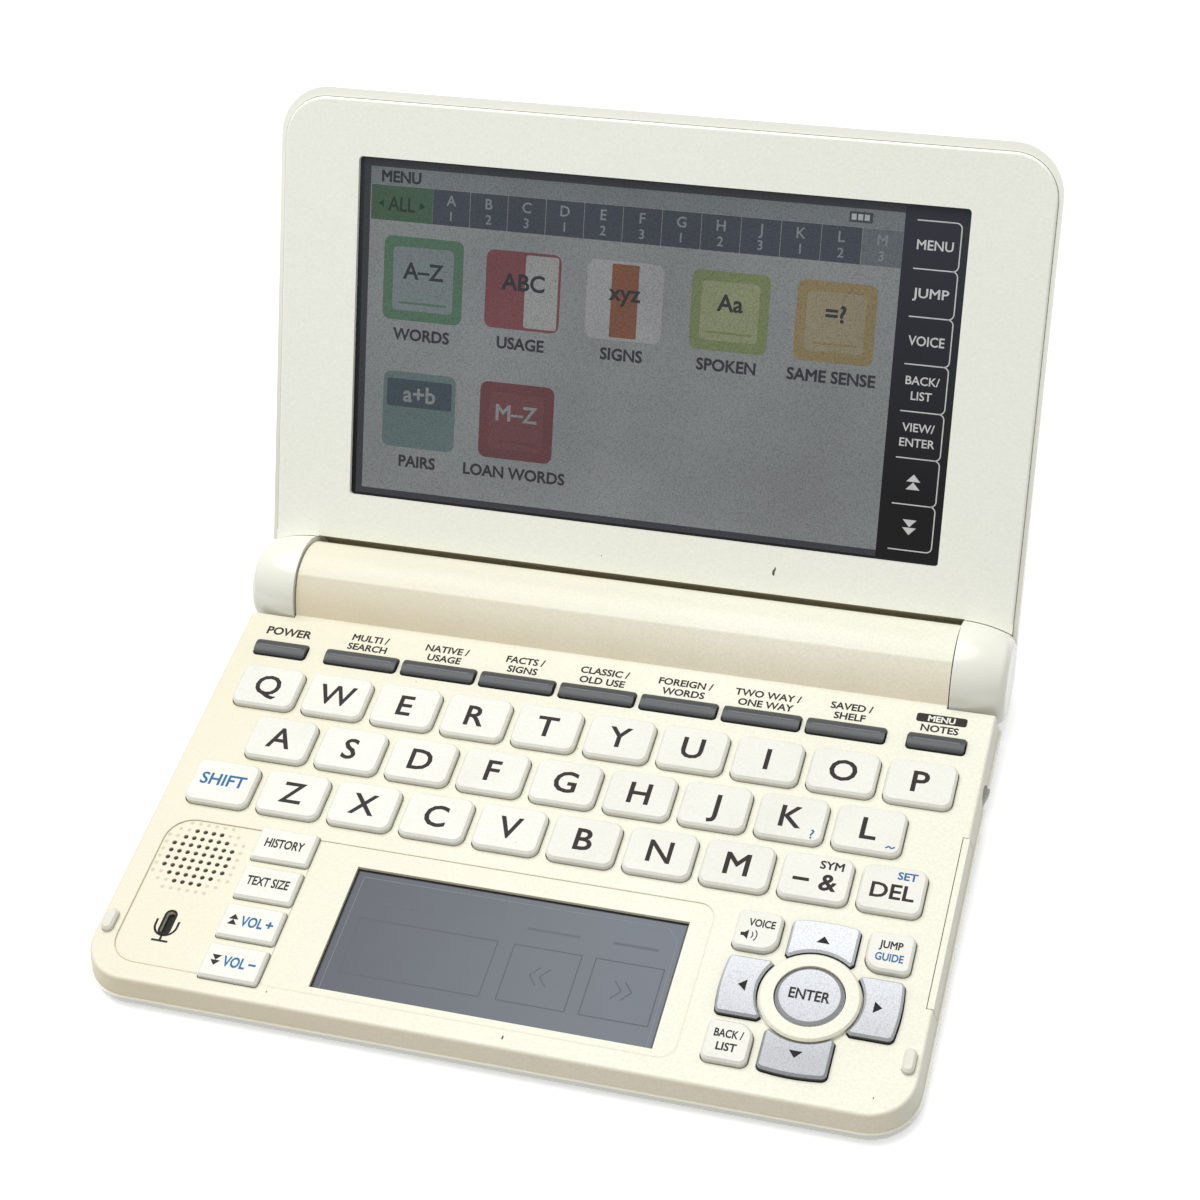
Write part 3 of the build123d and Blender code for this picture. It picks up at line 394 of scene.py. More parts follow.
ageCreamAndPaintBounce(surfaces["cream"])
paintGlossHighlight(surfaces["gloss"])
surfaces.update({
    "silver": silverLacquer(), "glass": darkGlass(), "pad": padFilm(),
    "marks": printedInk("keyInk", 0.5, {"Specular IOR Level": 0.2}),
    "padInk": printedInk("padPrint", 0.3, {"Specular IOR Level": 0.3, "Coat Weight": 0.1}),
    "screen": displayPicture(), "board": boardGreen(),
    "steel": plainMetal("plainSteel", (0.55, 0.55, 0.56), 0.3),
    "nickel": plainMetal("nickelSteel", (0.62, 0.61, 0.58), 0.22),
})
materials = {key: surface.material for key, surface in surfaces.items()}

nodeFinish = {
    "top_case": "cream", "stylus": "cream", "bottom_case": "gloss", "battery_cover": "gloss",
    "lid_cover": "gloss", "lid_bezel": "bezel", "display_window": "glass", "display_panel": "glass",
    "pad_panel": "pad", "function_keys": "bar", "key_sheet": "silicone", "main_board": "board",
    "hinge_shafts": "steel", "case_screws": "nickel", "battery_contacts": "nickel",
    "battery_cells": "wrap", "rubber_feet": "rubber", "lid_cushions": "rubber", "speaker": "cone",
}
silverKeys = ["key_up", "key_down", "key_left", "key_right", "key_enter"]
for name, node in nodes.items():
    finish = nodeFinish.get(name, "silver" if name in silverKeys else "key")
    node.data.materials.clear()
    node.data.materials.append(materials[finish])
print("materials set")


# tints of the ink and of the painted highlight on the bar crests, from 0 to 255 as on a screen
markTints = {
    "dark": (44, 40, 38), "blue": (40, 106, 154), "black": (18, 18, 20), "soot": (30, 26, 24),
    # the tint for the bar crests is a painted highlight
    "pale": (235, 235, 225), "touch": (205, 205, 205), "crestHighlight": (112, 115, 118),
    "dirt": (96, 84, 74), "gauze": (14, 13, 13),
}


def linear(value):
    curve = {"full": 255, "toe": 0.04045, "slope": 12.92, "offset": 0.055, "power": 2.4}
    part = value / curve["full"]
    if part < curve["toe"]:
        return part / curve["slope"]
    return ((part + curve["offset"]) / (1 + curve["offset"])) ** curve["power"]


def arcPoints(x, y, radius, start, end, steps):
    turns = [math.radians(start + (end - start) * step / steps) for step in range(steps + 1)]
    return [(x + radius * math.cos(turn), y + radius * math.sin(turn)) for turn in turns]


def circle(radius, steps):
    return arcPoints(0, 0, radius, 0, 360, steps)[:-1]


def roundBox(x, y, width, height, radius, steps=5):
    points = []
    for wayX, wayY, start in ((1, 1, 0), (-1, 1, 90), (-1, -1, 180), (1, -1, 270)):
        points += arcPoints(x + wayX * (width / 2 - radius), y + wayY * (height / 2 - radius),
                            radius, start, start + 90, steps)
    return points


def flatText(text):
    curve = bpy.data.curves.new("words", "FONT")
    curve.body = text
    curve.resolution_u = 3
    flat = flatten(newPiece("words", curve))
    bpy.data.curves.remove(curve)
    return flat


lettering = {"weight": 0.014, "leastArea": 1e-5, "leastOpening": 0.6}
capHeight = max(vertex.co.y for vertex in flatText("H").vertices)


def embolden(flat, weight):
    # moves every point of the flat letters outwards, by less at narrow corners
    shape = bmesh.new()
    shape.from_mesh(flat)
    moves = {}
    for vertex in shape.verts:
        sides = []
        for edge in vertex.link_edges:
            if edge.is_boundary:
                start, end = (corner.co for corner in edge.verts)
                side = Vector((end.y - start.y, start.x - end.x, 0)).normalized()
                inwards = edge.link_faces[0].calc_center_median() - (start + end) / 2
                sides.append(-side if side.dot(inwards) > 0 else side)
        if len(sides) == 2:
            opening = max(1 + sides[0].dot(sides[1]), lettering["leastOpening"])
            moves[vertex] = (sides[0] + sides[1]) * weight / opening
    for vertex, move in moves.items():
        vertex.co += move
    shape.to_mesh(flat)
    shape.free()
    flat.update()


class FlatMarks:
    # flat printed ink, and flat lines of painted shade and painted highlight, on the plane of its
    # place, in millimetres; a layer is a small lift above it
    def __init__(self, place):
        self.place = place
        self.mesh = bmesh.new()
        self.tints = self.mesh.loops.layers.float_color.new("tint")

    def corner(self, x, y, layer):
        return self.mesh.verts.new(self.place @ Vector((x, y, layer * layout["layer"])))

    def fill(self, corners, tint):
        for loop in self.mesh.faces.new(corners).loops:
            loop[self.tints] = (*map(linear, tint), 1)

    def face(self, points, tint, layer=0):
        self.fill([self.corner(x, y, layer) for x, y in points], tint)

    def box(self, x0, y0, x1, y1, tint, layer=0, radius=0.0):
        if radius:
            points = roundBox((x0 + x1) / 2, (y0 + y1) / 2, x1 - x0, y1 - y0, radius)
        else:
            points = [(x0, y0), (x1, y0), (x1, y1), (x0, y1)]
        self.face(points, tint, layer)

    def band(self, inner, outer, tint):
        for step in range(len(inner)):
            self.face([outer[step - 1], outer[step], inner[step], inner[step - 1]], tint)

    def stroke(self, points, width, tint):
        for start, end in zip(points, points[1:]):
            start, end = Vector(start), Vector(end)
            side = (end - start).orthogonal().normalized() * width / 2
            self.face([start - side, end - side, end + side, start + side], tint)

    def arc(self, x, y, radius, width, start, end, tint, steps=8):
        # open stroke along an arc, as one closed outline
        outer = arcPoints(x, y, radius + width / 2, start, end, steps)
        self.face(outer + arcPoints(x, y, radius - width / 2, end, start, steps), tint)

    def doubleArrow(self, x, y, way, values, tint):
        # two triangles in a row, both pointing up or both down
        for row in (0, 1):
            foot = y + way * (values["start"] + row * values["step"])
            points = [(x - values["half"], foot), (x + values["half"], foot),
                      (x, foot + way * values["height"])]
            self.face(points if way > 0 else points[::-1], tint)

    def words(self, text, height, x, y, tint, width=None, weight=lettering["weight"], layer=0):
        flat = flatText(text)
        embolden(flat, weight)
        scale = height / capHeight
        xs = [vertex.co.x for vertex in flat.vertices]
        middle = (min(xs) + max(xs)) / 2
        stretch = scale if width is None else width / (max(xs) - min(xs))
        corners = [self.corner(x + (vertex.co.x - middle) * stretch,
                               y + vertex.co.y * scale - height / 2, layer)
                   for vertex in flat.vertices]
        for polygon in flat.polygons:
            # slivers that the bolder outline has folded over are left out
            if polygon.area >= lettering["leastArea"] and polygon.normal.z >= 0:
                self.fill([corners[index] for index in polygon.vertices], tint)
        loose = [corner for corner in corners if not corner.link_faces]
        bmesh.ops.delete(self.mesh, geom=loose, context="VERTS")
        bpy.data.meshes.remove(flat)

    def finish(self, name, body, finish="marks"):
        piece = newPiece(name, newMesh(name, self.mesh, materials[finish]))
        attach(piece, body)


def deckPoints(nodeName):
    inverse = deckFrame.inverted()
    return [inverse @ vertex.co for vertex in nodes[nodeName].data.vertices]


def middleOf(points):
    # centre of the box round the points
    return [(min(point[axis] for point in points) + max(point[axis] for point in points)) / 2
            for axis in (0, 1)]


def keyPlace(nodeName):
    # the middle of a key's flat top
    points = deckPoints(nodeName)
    high = max(point.z for point in points)
    x, y = middleOf([point for point in points if point.z > high - layout["topDepth"]])
    return shifted(deckFrame, x, y, high + layout["inkLift"])


letters = {
    "height": 4.5, "weight": 0.016, "mark": 1.9, "markPlace": (4.3, -3.1),
    "wave": [(3.5, -3.6), (4.05, -3.15), (4.55, -3.6), (5.1, -3.15)], "waveLine": 0.3,
}


def printLetters():
    for name in "qwertyuiopasdfghjklzxcvbnm":
        marks = FlatMarks(keyPlace("key_" + name))
        marks.words(name.upper(), letters["height"], 0, 0, markTints["dark"],
                  weight=letters["weight"])
        if name == "k":
            marks.words("?", letters["mark"], *letters["markPlace"], markTints["blue"])
        if name == "l":
            marks.stroke(letters["wave"], letters["waveLine"], markTints["blue"])
        marks.finish("letter_" + name, "key_" + name)
    print("letters printed")


# words on each of the other keys: text, height, x, y, tint, width and weight
legends = {
    "shift": [("SHIFT", 2.5, 0, 0.4, "blue", 8.8, 0.02)],
    "symbol": [("SYM", 1.6, 2.4, 2.7, "dark", None, 0.028),
               ("&", 3.3, 2.4, -0.9, "dark", None, 0.024)],
    "delete": [("SET", 1.5, 2.2, 2.9, "blue", None, 0.028),
               ("DEL", 3.0, 0.2, -0.6, "dark", 7.6, 0.02)],
    "history": [("HISTORY", 1.8, 0, 0.2, "dark", 7.4, 0.028)],
    "text_size": [("TEXT SIZE", 1.8, 0, 0.2, "dark", 8.0, 0.028)],
    "volume_up": [("VOL", 2.0, 0.3, 0, "blue", 4.2, 0.028), ("+", 1.7, 3.6, 0, "blue", None, 0.04)],
    "volume_down": [("VOL", 2.0, 0.3, 0, "blue", 4.2, 0.028),
                    ("−", 1.7, 3.6, 0, "blue", None, 0.04)],
    "up": [], "left": [], "down": [], "right": [],
    "enter": [("ENTER", 1.95, 0, 0, "dark", 6.9, 0.026)],
    "voice": [("VOICE", 1.45, 0.5, 1.3, "dark", 4.6, 0.028)],
    "jump": [("JUMP", 1.45, 0, 1.25, "dark", 4.0, 0.028),
             ("GUIDE", 1.45, 0.1, -1.25, "blue", 4.8, 0.028)],
    "back": [("BACK /", 1.45, 0, 1.25, "dark", 4.9, 0.028),
             ("LIST", 1.45, 0.1, -1.25, "dark", 3.4, 0.028)],
}
signs = {
    "dash": (-2.4, -0.9, 2.9, 0.7, 0.1), "volume": -3.2,
    "volumeArrow": {"start": -1.0, "step": 1.1, "half": 0.9, "height": 1.1},
    "turns": {"up": 0, "left": 90, "down": 180, "right": 270},
    "arrow": [(-1.15, -0.6), (1.15, -0.6), (0, 0.8)],
    "horn": [(-2.7, -1.65), (-2.1, -1.65), (-1.4, -2.3), (-1.4, -0.3), (-2.1, -0.95),
             (-2.7, -0.95)],
    "sound": (-1.5, -1.3), "soundRadii": (0.9, 1.6), "soundLine": 0.2, "soundTurn": 42,
}


def printLegends():
    dark = markTints["dark"]
    for name, rows in legends.items():
        marks = FlatMarks(shifted(keyPlace("key_" + name), turn=signs["turns"].get(name, 0)))
        for text, height, x, y, tint, width, weight in rows:
            marks.words(text, height, x, y, markTints[tint], width, weight)
        if name == "symbol":
            marks.face(roundBox(*signs["dash"]), dark)
        elif name in ("volume_up", "volume_down"):
            way = 1 if name == "volume_up" else -1
            marks.doubleArrow(signs["volume"], 0, way, signs["volumeArrow"], dark)
        elif name in signs["turns"]:
            marks.face(signs["arrow"], markTints["black"])
        elif name == "voice":
            marks.face(signs["horn"], dark)
            for radius in signs["soundRadii"]:
                marks.arc(*signs["sound"], radius, signs["soundLine"], -signs["soundTurn"],
                        signs["soundTurn"], dark)
        marks.finish("legend_" + name, "key_" + name)
    print("legends printed")


columns = {"pitch": 15.67, "endX": 63.5, "last": 4}


def columnX(index):
    # the nine dark bars and their labels; the outer two are nearer to the rest
    if abs(index) == columns["last"]:
        return math.copysign(columns["endX"], index)
    return index * columns["pitch"]


deckLabels = {
    "y": 81.9, "height": 1.5, "single": 1.8, "inverse": 1.25, "step": 2.3, "weight": 0.03,
    "field": (9.2, 2.0, 0.5),
    "words": [("POWER", ""), ("MULTI /", "SEARCH"), ("NATIVE /", "USAGE"), ("FACTS /", "SIGNS"),
              ("CLASSIC /", "OLD USE"), ("FOREIGN /", "WORDS"), ("TWO WAY /", "ONE WAY"),
              ("SAVED /", "SHELF"), ("MENU", "NOTES")],
}


def deckMarks(lift=layout["inkLift"]):
    return FlatMarks(shifted(deckFrame, 0, 0, lift))


def printDeck():
    marks = deckMarks()
    dark, size, weight = markTints["dark"], deckLabels["height"], deckLabels["weight"]
    high = deckLabels["y"] + deckLabels["step"] / 2
    low = high - deckLabels["step"]
    for index, (first, second) in enumerate(deckLabels["words"], -columns["last"]):
        x = columnX(index)
        if index == columns["last"]:
            # pale on a dark field
            marks.face(roundBox(x, high, *deckLabels["field"]), dark)
            marks.words(first, deckLabels["inverse"], x, high, markTints["pale"], None, weight, 1)
        elif second:
            marks.words(first, size, x, high, dark, None, weight)
        else:
            marks.words(first, deckLabels["single"], x, deckLabels["y"], dark, None, weight)
        if second:
            marks.words(second, size, x, low, dark, None, weight)
    marks.finish("deckPrint", "base")


microphone = {
    "x": -60.7, "y": 12.8, "slotWidth": 1.5, "slotLength": 4.6, "rim": 0.45, "line": 0.42,
    "cup": 2.05, "cupDrop": 0.7, "arms": (-0.02, 1.2), "stand": 3.1, "foot": 3.9,
    "gauzeDepth": 0.9, "gauzeGap": 0.02, "flat": 0.01, "steps": 8,
}


def capsule(more):
    width, length = microphone["slotWidth"] + 2 * more, microphone["slotLength"] + 2 * more
    return roundBox(microphone["x"], microphone["y"], width, length,
                    width / 2 - microphone["flat"], microphone["steps"])


def printMicrophone():
    # microphone sign round its slot, and the black gauze inside it
    marks = deckMarks(layout["inkLift"] - layout["fieldSink"])
    x, y, line, cup = (microphone[key] for key in ("x", "y", "line", "cup"))
    soot = markTints["soot"]
    cupY, foot, half = y - microphone["cupDrop"], y - microphone["foot"], microphone["stand"] / 2
    marks.band(capsule(0), capsule(microphone["rim"]), soot)
    marks.arc(x, cupY, cup, line, 180, 360, soot, steps=12)
    for side in (-cup, cup):
        marks.stroke([(x + side, cupY + end) for end in microphone["arms"]], line, soot)
    marks.stroke([(x, foot), (x, cupY - cup)], line, soot)
    marks.stroke([(x - half, foot), (x + half, foot)], line, soot)
    marks.place = shifted(deckFrame, 0, 0, -microphone["gauzeDepth"])
    marks.face(capsule(-microphone["gauzeGap"]), markTints["gauze"])
    marks.finish("microphoneSign", "base")


handwriting = {
    "left": -31.3, "right": 29.4, "low": 5.15, "high": 30.95, "depth": 0.8, "edge": 0.45,
    "line": 0.22,
    "boxes": [(-27.5, 9.5, -2.2, 21.0), (0.8, 9.5, 12.9, 21.0), (15.4, 9.5, 27.4, 21.0)],
    "arrows": [(6.8, -1), (21.4, 1)], "arrowY": (17.2, 15.4, 13.6), "arrowStep": 0.9,
    "arrowTip": 0.8, "arrowFoot": 0.7, "rules": [(-20.0, 9.0), (6.8, 9.5), (21.4, 8.0)],
    "ruleY": 24.6, "ruleLine": 0.5, "filmLine": 0.12,
    "film": [(-29.7, 5.65), (-29.7, 29.45), (26.0, 29.45), (28.2, 27.05), (28.2, 5.65)],
    "black": (12, 13, 15), "faint": (66, 71, 80), "light": (112, 120, 128),
    "shade": (52, 56, 64), "rule": (76, 81, 91),
}


def printPad():
    # painted shadow under the window's rim: black along the left and rear edges, dark grey along
    # the right; then faint boxes and arrows, and the cut corner of the film
    marks = deckMarks(layout["inkLift"] - handwriting["depth"])
    left, right, low, high = (handwriting[side] for side in ("left", "right", "low", "high"))
    edge, line, faint = handwriting["edge"], handwriting["line"], handwriting["faint"]
    outer = [(left, low), (left, high), (right, high), (right, low)]
    inner = [(left + edge, low), (left + edge, high - edge), (right - edge, high - edge),
             (right - edge, low)]
    # painted shadow: the rim's left and rear sides black, its right side dark grey
    for step, key in enumerate(("black", "black", "shade")):
        marks.face([outer[step], inner[step], inner[step + 1], outer[step + 1]], handwriting[key])
    for x0, y0, x1, y1 in handwriting["boxes"]:
        marks.stroke([(x0, y0), (x1, y0), (x1, y1), (x0, y1), (x0, y0)], line, faint)
    for x, way in handwriting["arrows"]:
        for step in (-handwriting["arrowStep"], handwriting["arrowStep"]):
            tip = x + step + way * handwriting["arrowTip"]
            foot = x + step - way * handwriting["arrowFoot"]
            marks.stroke(list(zip((foot, tip, foot), handwriting["arrowY"])), line, faint)
    for x, width in handwriting["rules"]:
        marks.stroke([(x - width / 2, handwriting["ruleY"]), (x + width / 2, handwriting["ruleY"])],
                   handwriting["ruleLine"], handwriting["rule"])
    marks.stroke(handwriting["film"], handwriting["filmLine"], handwriting["light"])
    marks.finish("padPicture", "base", "padInk")


# each field: its side, outer edge, inner end, rounding and the tint of its painted shade line
fieldShadeLines = {
    "front": 3.7, "rear": 35.2, "line": 0.16,
    "fields": [(-1, -68.7, -51.3, 5.0, (196, 185, 154)),
               (1, 33.3, -39.9, 3.0, (224, 220, 200))],
}


def printFieldShadeLines():
    # painted shade lines along the shallow steps at the edges of the two fields
    marks = deckMarks()
    front, rear, line = fieldShadeLines["front"], fieldShadeLines["rear"], fieldShadeLines["line"]
    for side, edge, end, bend, tint in fieldShadeLines["fields"]:
        middle = edge - side * bend
        for y, turn in ((rear, 1), (front, -1)):
            marks.stroke([(end, y), (middle, y)], line, tint)
            angles = (0, 90 * turn) if side > 0 else (180, 180 - 90 * turn)
            marks.arc(middle, y - turn * bend, bend, line, *sorted(angles), tint, steps=6)
        marks.stroke([(edge, front + bend), (edge, rear - bend)], line, tint)
    marks.finish("fieldShadeLines", "base")


specks = {
    "deck": [(4.5, 2.1, 0.28), (-38.0, 2.6, 0.14), (40.5, 34.6, 0.16), (66.5, 3.4, 0.15)],
    "bezel": [(27.7, 4.2, 0.42), (27.95, 4.9, 0.26), (-6.0, 3.2, 0.12), (58.0, 40.0, 0.12)],
    "wide": 0.6, "long": 1.5, "corners": 9,
}


def printSpecks():
    # small spots of dirt
    for body, base, key in (("base", deckFrame, "deck"), ("lid", lidFrame, "bezel")):
        marks = FlatMarks(shifted(base, 0, 0, layout["inkLift"]))
        for x, y, radius in specks[key]:
            marks.face([(x + specks["wide"] * spotX, y + specks["long"] * spotY)
                      for spotX, spotY in circle(radius, specks["corners"])], markTints["dirt"])
        marks.finish(key + "Specks", body)


printLetters()
printLegends()
printDeck()
printMicrophone()
printPad()
printFieldShadeLines()
printSpecks()
print("deck, pad and bezel printed")


def spreadTree(name, sizes, makeShape):
    # sets one shape on every point of the mesh and gives it a material
    inputs = {"Geometry": "Geometry", **{size: "Float" for size in sizes}, "Finish": "Material"}
    tree, given, result = newTree("GeometryNodeTree", name, inputs, {"Geometry": "Geometry"})
    points = addNode(tree, "GeometryNodeMeshToPoints", {"Mesh": given["Geometry"]})
    spread = addNode(tree, "GeometryNodeInstanceOnPoints", {
        "Points": points.outputs["Points"], "Instance": makeShape(tree, given)})
    real = addNode(tree, "GeometryNodeRealizeInstances", {"Geometry": spread.outputs["Instances"]})
    painted = addNode(tree, "GeometryNodeSetMaterial", {
        "Geometry": real.outputs["Geometry"], "Material": given["Finish"]})
    tree.links.new(painted.outputs["Geometry"], result["Geometry"])
    return tree


def disc(tree, given):
    return addNode(tree, "GeometryNodeMeshCircle", {"Vertices": 12, "Radius": given["Radius"]},
                   fill_type="NGON").outputs["Mesh"]


def cross(tree, given):
    # two crossed bars, as the slots of a cross-head screw
    both = tree.nodes.new("GeometryNodeJoinGeometry")
    for first, second in (("Length", "Width"), ("Width", "Length")):
        size = addNode(tree, "ShaderNodeCombineXYZ", {"X": given[first], "Y": given[second],
                                                      "Z": given["Depth"]})
        bar = addNode(tree, "GeometryNodeMeshCube", {"Size": size.outputs["Vector"]})
        tree.links.new(bar.outputs["Mesh"], both.inputs["Geometry"])
    return both.outputs["Geometry"]


def grow(name, points, tree, sizes, place, body, finish):
    # runs a tree on the points and keeps the result as a plain mesh with its place in it
    start = bpy.data.meshes.new(name)
    start.from_pydata(points, [], [])
    holder = newPiece(name + "Points", start)
    modifier = holder.modifiers.new("grow", "NODES")
    modifier.node_group = tree
    values = {**sizes, "Finish": materials[finish]}
    for item in tree.interface.items_tree:
        if item.in_out == "INPUT" and item.name in values:
            modifier[item.identifier] = values[item.name]
    made = flatten(holder)
    made.transform(place)
    piece = newPiece(name, made)
    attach(piece, body)


grille = {
    "x": -60.7, "y": 27.2, "pitch": 1.607, "rows": [4, 6, 8, 8, 8, 8, 6, 4], "across": 9,
    "hole": 0.43, "gauzeDepth": 0.4, "dimple": 0.36,
}


def makeGrille():
    # black cloth in the open holes, and flat discs of painted shade for the shallow dimples on the
    # rest of the square grid
    pitch, rows = grille["pitch"], grille["rows"]
    holes = []
    for row, count in enumerate(rows):
        y = grille["y"] + ((len(rows) - 1) / 2 - row) * pitch
        holes += [(grille["x"] + (column - (count - 1) / 2) * pitch, y, 0)
                  for column in range(count)]
    dimples = []
    half = len(rows) / 2 + 0.5
    for row in range(len(rows) + 2):
        for column in range(len(rows) + 2):
            x = grille["x"] + (column - half) * pitch
            y = grille["y"] + (half - row) * pitch
            free = all(math.hypot(x - holeX, y - holeY) > pitch / 2 for holeX, holeY, _ in holes)
            if free and math.hypot(x - grille["x"], y - grille["y"]) < grille["across"]:
                dimples.append((x, y, 0))
    tree = spreadTree("discs", ["Radius"], disc)
    cloth = shifted(deckFrame, 0, 0, -layout["fieldSink"] - grille["gauzeDepth"])
    field = shifted(deckFrame, 0, 0, layout["inkLift"] - layout["fieldSink"])
    grow("grilleCloth", holes, tree, {"Radius": grille["hole"]}, cloth, "base", "cone")
    # painted shade: darker flat discs stand for the dimples
    grow("grilleDimpleShade", dimples, tree, {"Radius": grille["dimple"]}, field, "base", "dimple")
    print("grille:", len(holes), "holes,", len(dimples), "dimples")


screws = {"face": 0.02, "apart": 6, "slot": {"Length": 2.1, "Width": 0.5, "Depth": 0.16}}


def makeScrewSlots():
    # dark crossed slots in the six screw heads: black bars of painted shade stand for the recesses
    points = deckPoints("case_screws")
    low = min(point.z for point in points)
    heads = []
    for point in points:
        if point.z < low + screws["face"]:
            near = [head for head in heads if (head[0] - point).length < screws["apart"]]
            if near:
                near[0].append(point)
            else:
                heads.append([point])
    places = [(*middleOf(head), low) for head in heads]
    tree = spreadTree("crossSlots", screws["slot"], cross)
    grow("screwSlots", places, tree, screws["slot"], deckFrame, "base", "cone")
    print("screw slots:", len(places))


bars = {"row": 77.3, "height": 1.0, "width": 14.3, "endWidth": 10.3, "crestHighlight": 0.3, "inset": 0.9}


def makeCrestHighlights():
    # painted highlight lines along the crests of the nine bars
    marks = deckMarks(bars["height"] + layout["inkLift"])
    last, row = columns["last"], bars["row"]
    for index in range(-last, last + 1):
        half = bars["endWidth" if abs(index) == last else "width"] / 2 - bars["inset"]
        x = columnX(index)
        marks.stroke([(x - half, row), (x + half, row)], bars["crestHighlight"], markTints["crestHighlight"])
    marks.finish("barCrestHighlights", "function_keys")


def strip(name, rows, finish, closed=False):
    # faces between each row of points and the next one
    shape = bmesh.new()
    rows = [[shape.verts.new(point) for point in row] for row in rows]
    for upper, lower in zip(rows, rows[1:]):
        for side in range(0 if closed else 1, len(upper)):
            shape.faces.new([upper[side - 1], lower[side - 1], lower[side], upper[side]])
    return newPiece(name, newMesh(name, shape, materials[finish]))


enterRim = {"radius": 5.115, "height": 1.365, "steps": (0.08, 0.5), "sides": 64}


def makeEnterRim():
    # polished bevel round the enter key
    rings = []
    for step in enterRim["steps"]:
        middle = shifted(deckFrame, layout["navX"], layout["navY"], enterRim["height"] - step)
        rings.append([middle @ Vector((x, y, 0))
                      for x, y in circle(enterRim["radius"] + step, enterRim["sides"])])
    piece = strip("enterRim", rings, "polished", closed=True)
    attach(piece, "key_enter")


slit = {
    "radius": 10.015, "hingeY": -9.646, "hingeZ": 2.78, "start": 18, "end": 46, "steps": 6,
    "half": 63.8,
}


def makeSlit():
    # a dark sheet of painted shade behind the slit between the bezel and the hinge barrel, where
    # the gap lies in deep shadow
    bend = arcPoints(slit["hingeY"], -slit["hingeZ"], slit["radius"], slit["start"], slit["end"],
                     slit["steps"])
    rows = [[lidFrame @ Vector((x, y, -drop)) for x in (-slit["half"], slit["half"])]
            for y, drop in bend]
    piece = strip("paintedSlitShade", rows, "slit")
    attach(piece, "lid")


makeGrille()
makeScrewSlots()
makeCrestHighlights()
makeEnterRim()
makeSlit()
print("grille, screw slots, crests, rim and slit made")


picture = {
    "left": -55.75, "right": 46.4, "low": 10.8, "high": 73.2, "depth": -0.9,
    "rims": [(-57.05, 9.6, -55.75, 74.6), (-55.75, 9.6, 46.4, 10.8), (-55.75, 73.2, 46.4, 74.6)],
    "headerLow": 69.9,
    "ground": (128, 132, 133), "bar": (110, 116, 120), "tab": (60, 66, 76),
    "tabLine": (122, 128, 134), "word": (42, 46, 50), "pale": (168, 172, 172),
    "rim": (54, 55, 62), "green": (62, 88, 70), "greenWord": (34, 52, 40),
    "lastTab": (92, 99, 104), "paleSign": (128, 132, 134),
    "title": ("MENU", 2.0, -49.6, 71.5), "titleWeight": 0.035,
    "all": ("◂ ALL ▸", 2.6, -49.4, 66.4), "allWidth": 9.5, "allWeight": 0.02,
}
battery = {"case": (36.3, 70.7, 40.6, 72.6), "round": 0.2, "cell": (36.7, 71.1, 37.6, 72.2),
           "pitch": 1.2, "count": 3}
tabs = {"letters": "ABCDEFGHJKLM", "left": -43.2, "low": 63.2, "high": 69.8, "gap": 0.06,
        "firstGap": 0.2, "letter": (1.9, 67.9), "number": (1.7, 65.0), "numbers": 3}

# centre, half side, pattern, two tints, sign and name of each tile
tiles = [
    (-44.6, 52.4, 8.0, "frame", (76, 106, 86), (112, 123, 124), "A–Z", "WORDS"),
    (-24.6, 52.2, 7.4, "halves", (112, 66, 73), (144, 146, 146), "ABC", "USAGE"),
    (-4.7, 52.2, 7.4, "column", (146, 149, 151), (118, 78, 58), "xyz", "SIGNS"),
    (15.5, 52.2, 7.4, "frame", (110, 122, 84), (130, 137, 105), "Aa", "SPOKEN"),
    (35.3, 52.2, 7.4, "frame", (130, 116, 82), (135, 127, 104), "=?", "SAME SENSE"),
    (-44.5, 27.0, 7.4, "top", (90, 108, 108), (58, 72, 80), "a+b", "PAIRS"),
    (-24.7, 27.0, 7.4, "frame", (98, 58, 62), (104, 64, 67), "M–Z", "LOAN WORDS"),
]
# the inner box of each pattern: how far in from the left, low, right and high edge, and its round
tile = {
    "round": 1.5, "rule": 3.2, "ruleHigh": 3.6,
    "inner": {"frame": (1.9, 1.9, 1.9, 1.9, 0.9), "halves": (7.8, 0.5, 0.5, 0.5, 0.5),
              "column": (4.8, 0.5, 4.8, 0.5, 0.2), "top": (0.8, 8.0, 0.8, 1.4, 0.3)},
    "sign": 3.0, "signLift": 1.6, "topSignLift": 3.2, "signWeight": 0.022,
    "paleSigns": ("a+b", "M–Z"), "name": 2.1, "nameDrop": 2.7, "nameWeight": 0.03,
}


def screenInk():
    return FlatMarks(shifted(lidFrame, 0, 0, picture["depth"] + layout["inkLift"]))


def drawHeader(marks):
    left, right, high, word = (picture[key] for key in ("left", "right", "high", "word"))
    marks.box(left, picture["headerLow"], right, high, picture["bar"], 1)
    marks.box(*battery["case"], picture["tab"], 2, battery["round"])
    x0, y0, x1, y1 = battery["cell"]
    for cell in range(battery["count"]):
        step = cell * battery["pitch"]
        marks.box(x0 + step, y0, x1 + step, y1, picture["pale"], 3)
    marks.words(*picture["title"], word, None, picture["titleWeight"], 2)
    marks.box(left + tabs["firstGap"], tabs["low"], tabs["left"], tabs["high"], picture["green"], 1)
    marks.words(*picture["all"], picture["greenWord"], picture["allWidth"], picture["allWeight"], 2)
    count = len(tabs["letters"])
    pitch = (right - tabs["left"]) / count
    for index, letter in enumerate(tabs["letters"]):
        x0 = tabs["left"] + index * pitch
        tint = picture["tab"] if index < count - 1 else picture["lastTab"]
        marks.box(x0 + tabs["gap"], tabs["low"], x0 + pitch - tabs["gap"], tabs["high"], tint, 1)
        for text, key in ((letter, "letter"), (str(1 + index % tabs["numbers"]), "number")):
            height, y = tabs[key]
            marks.words(text, height, x0 + pitch / 2, y, picture["tabLine"], layer=2)


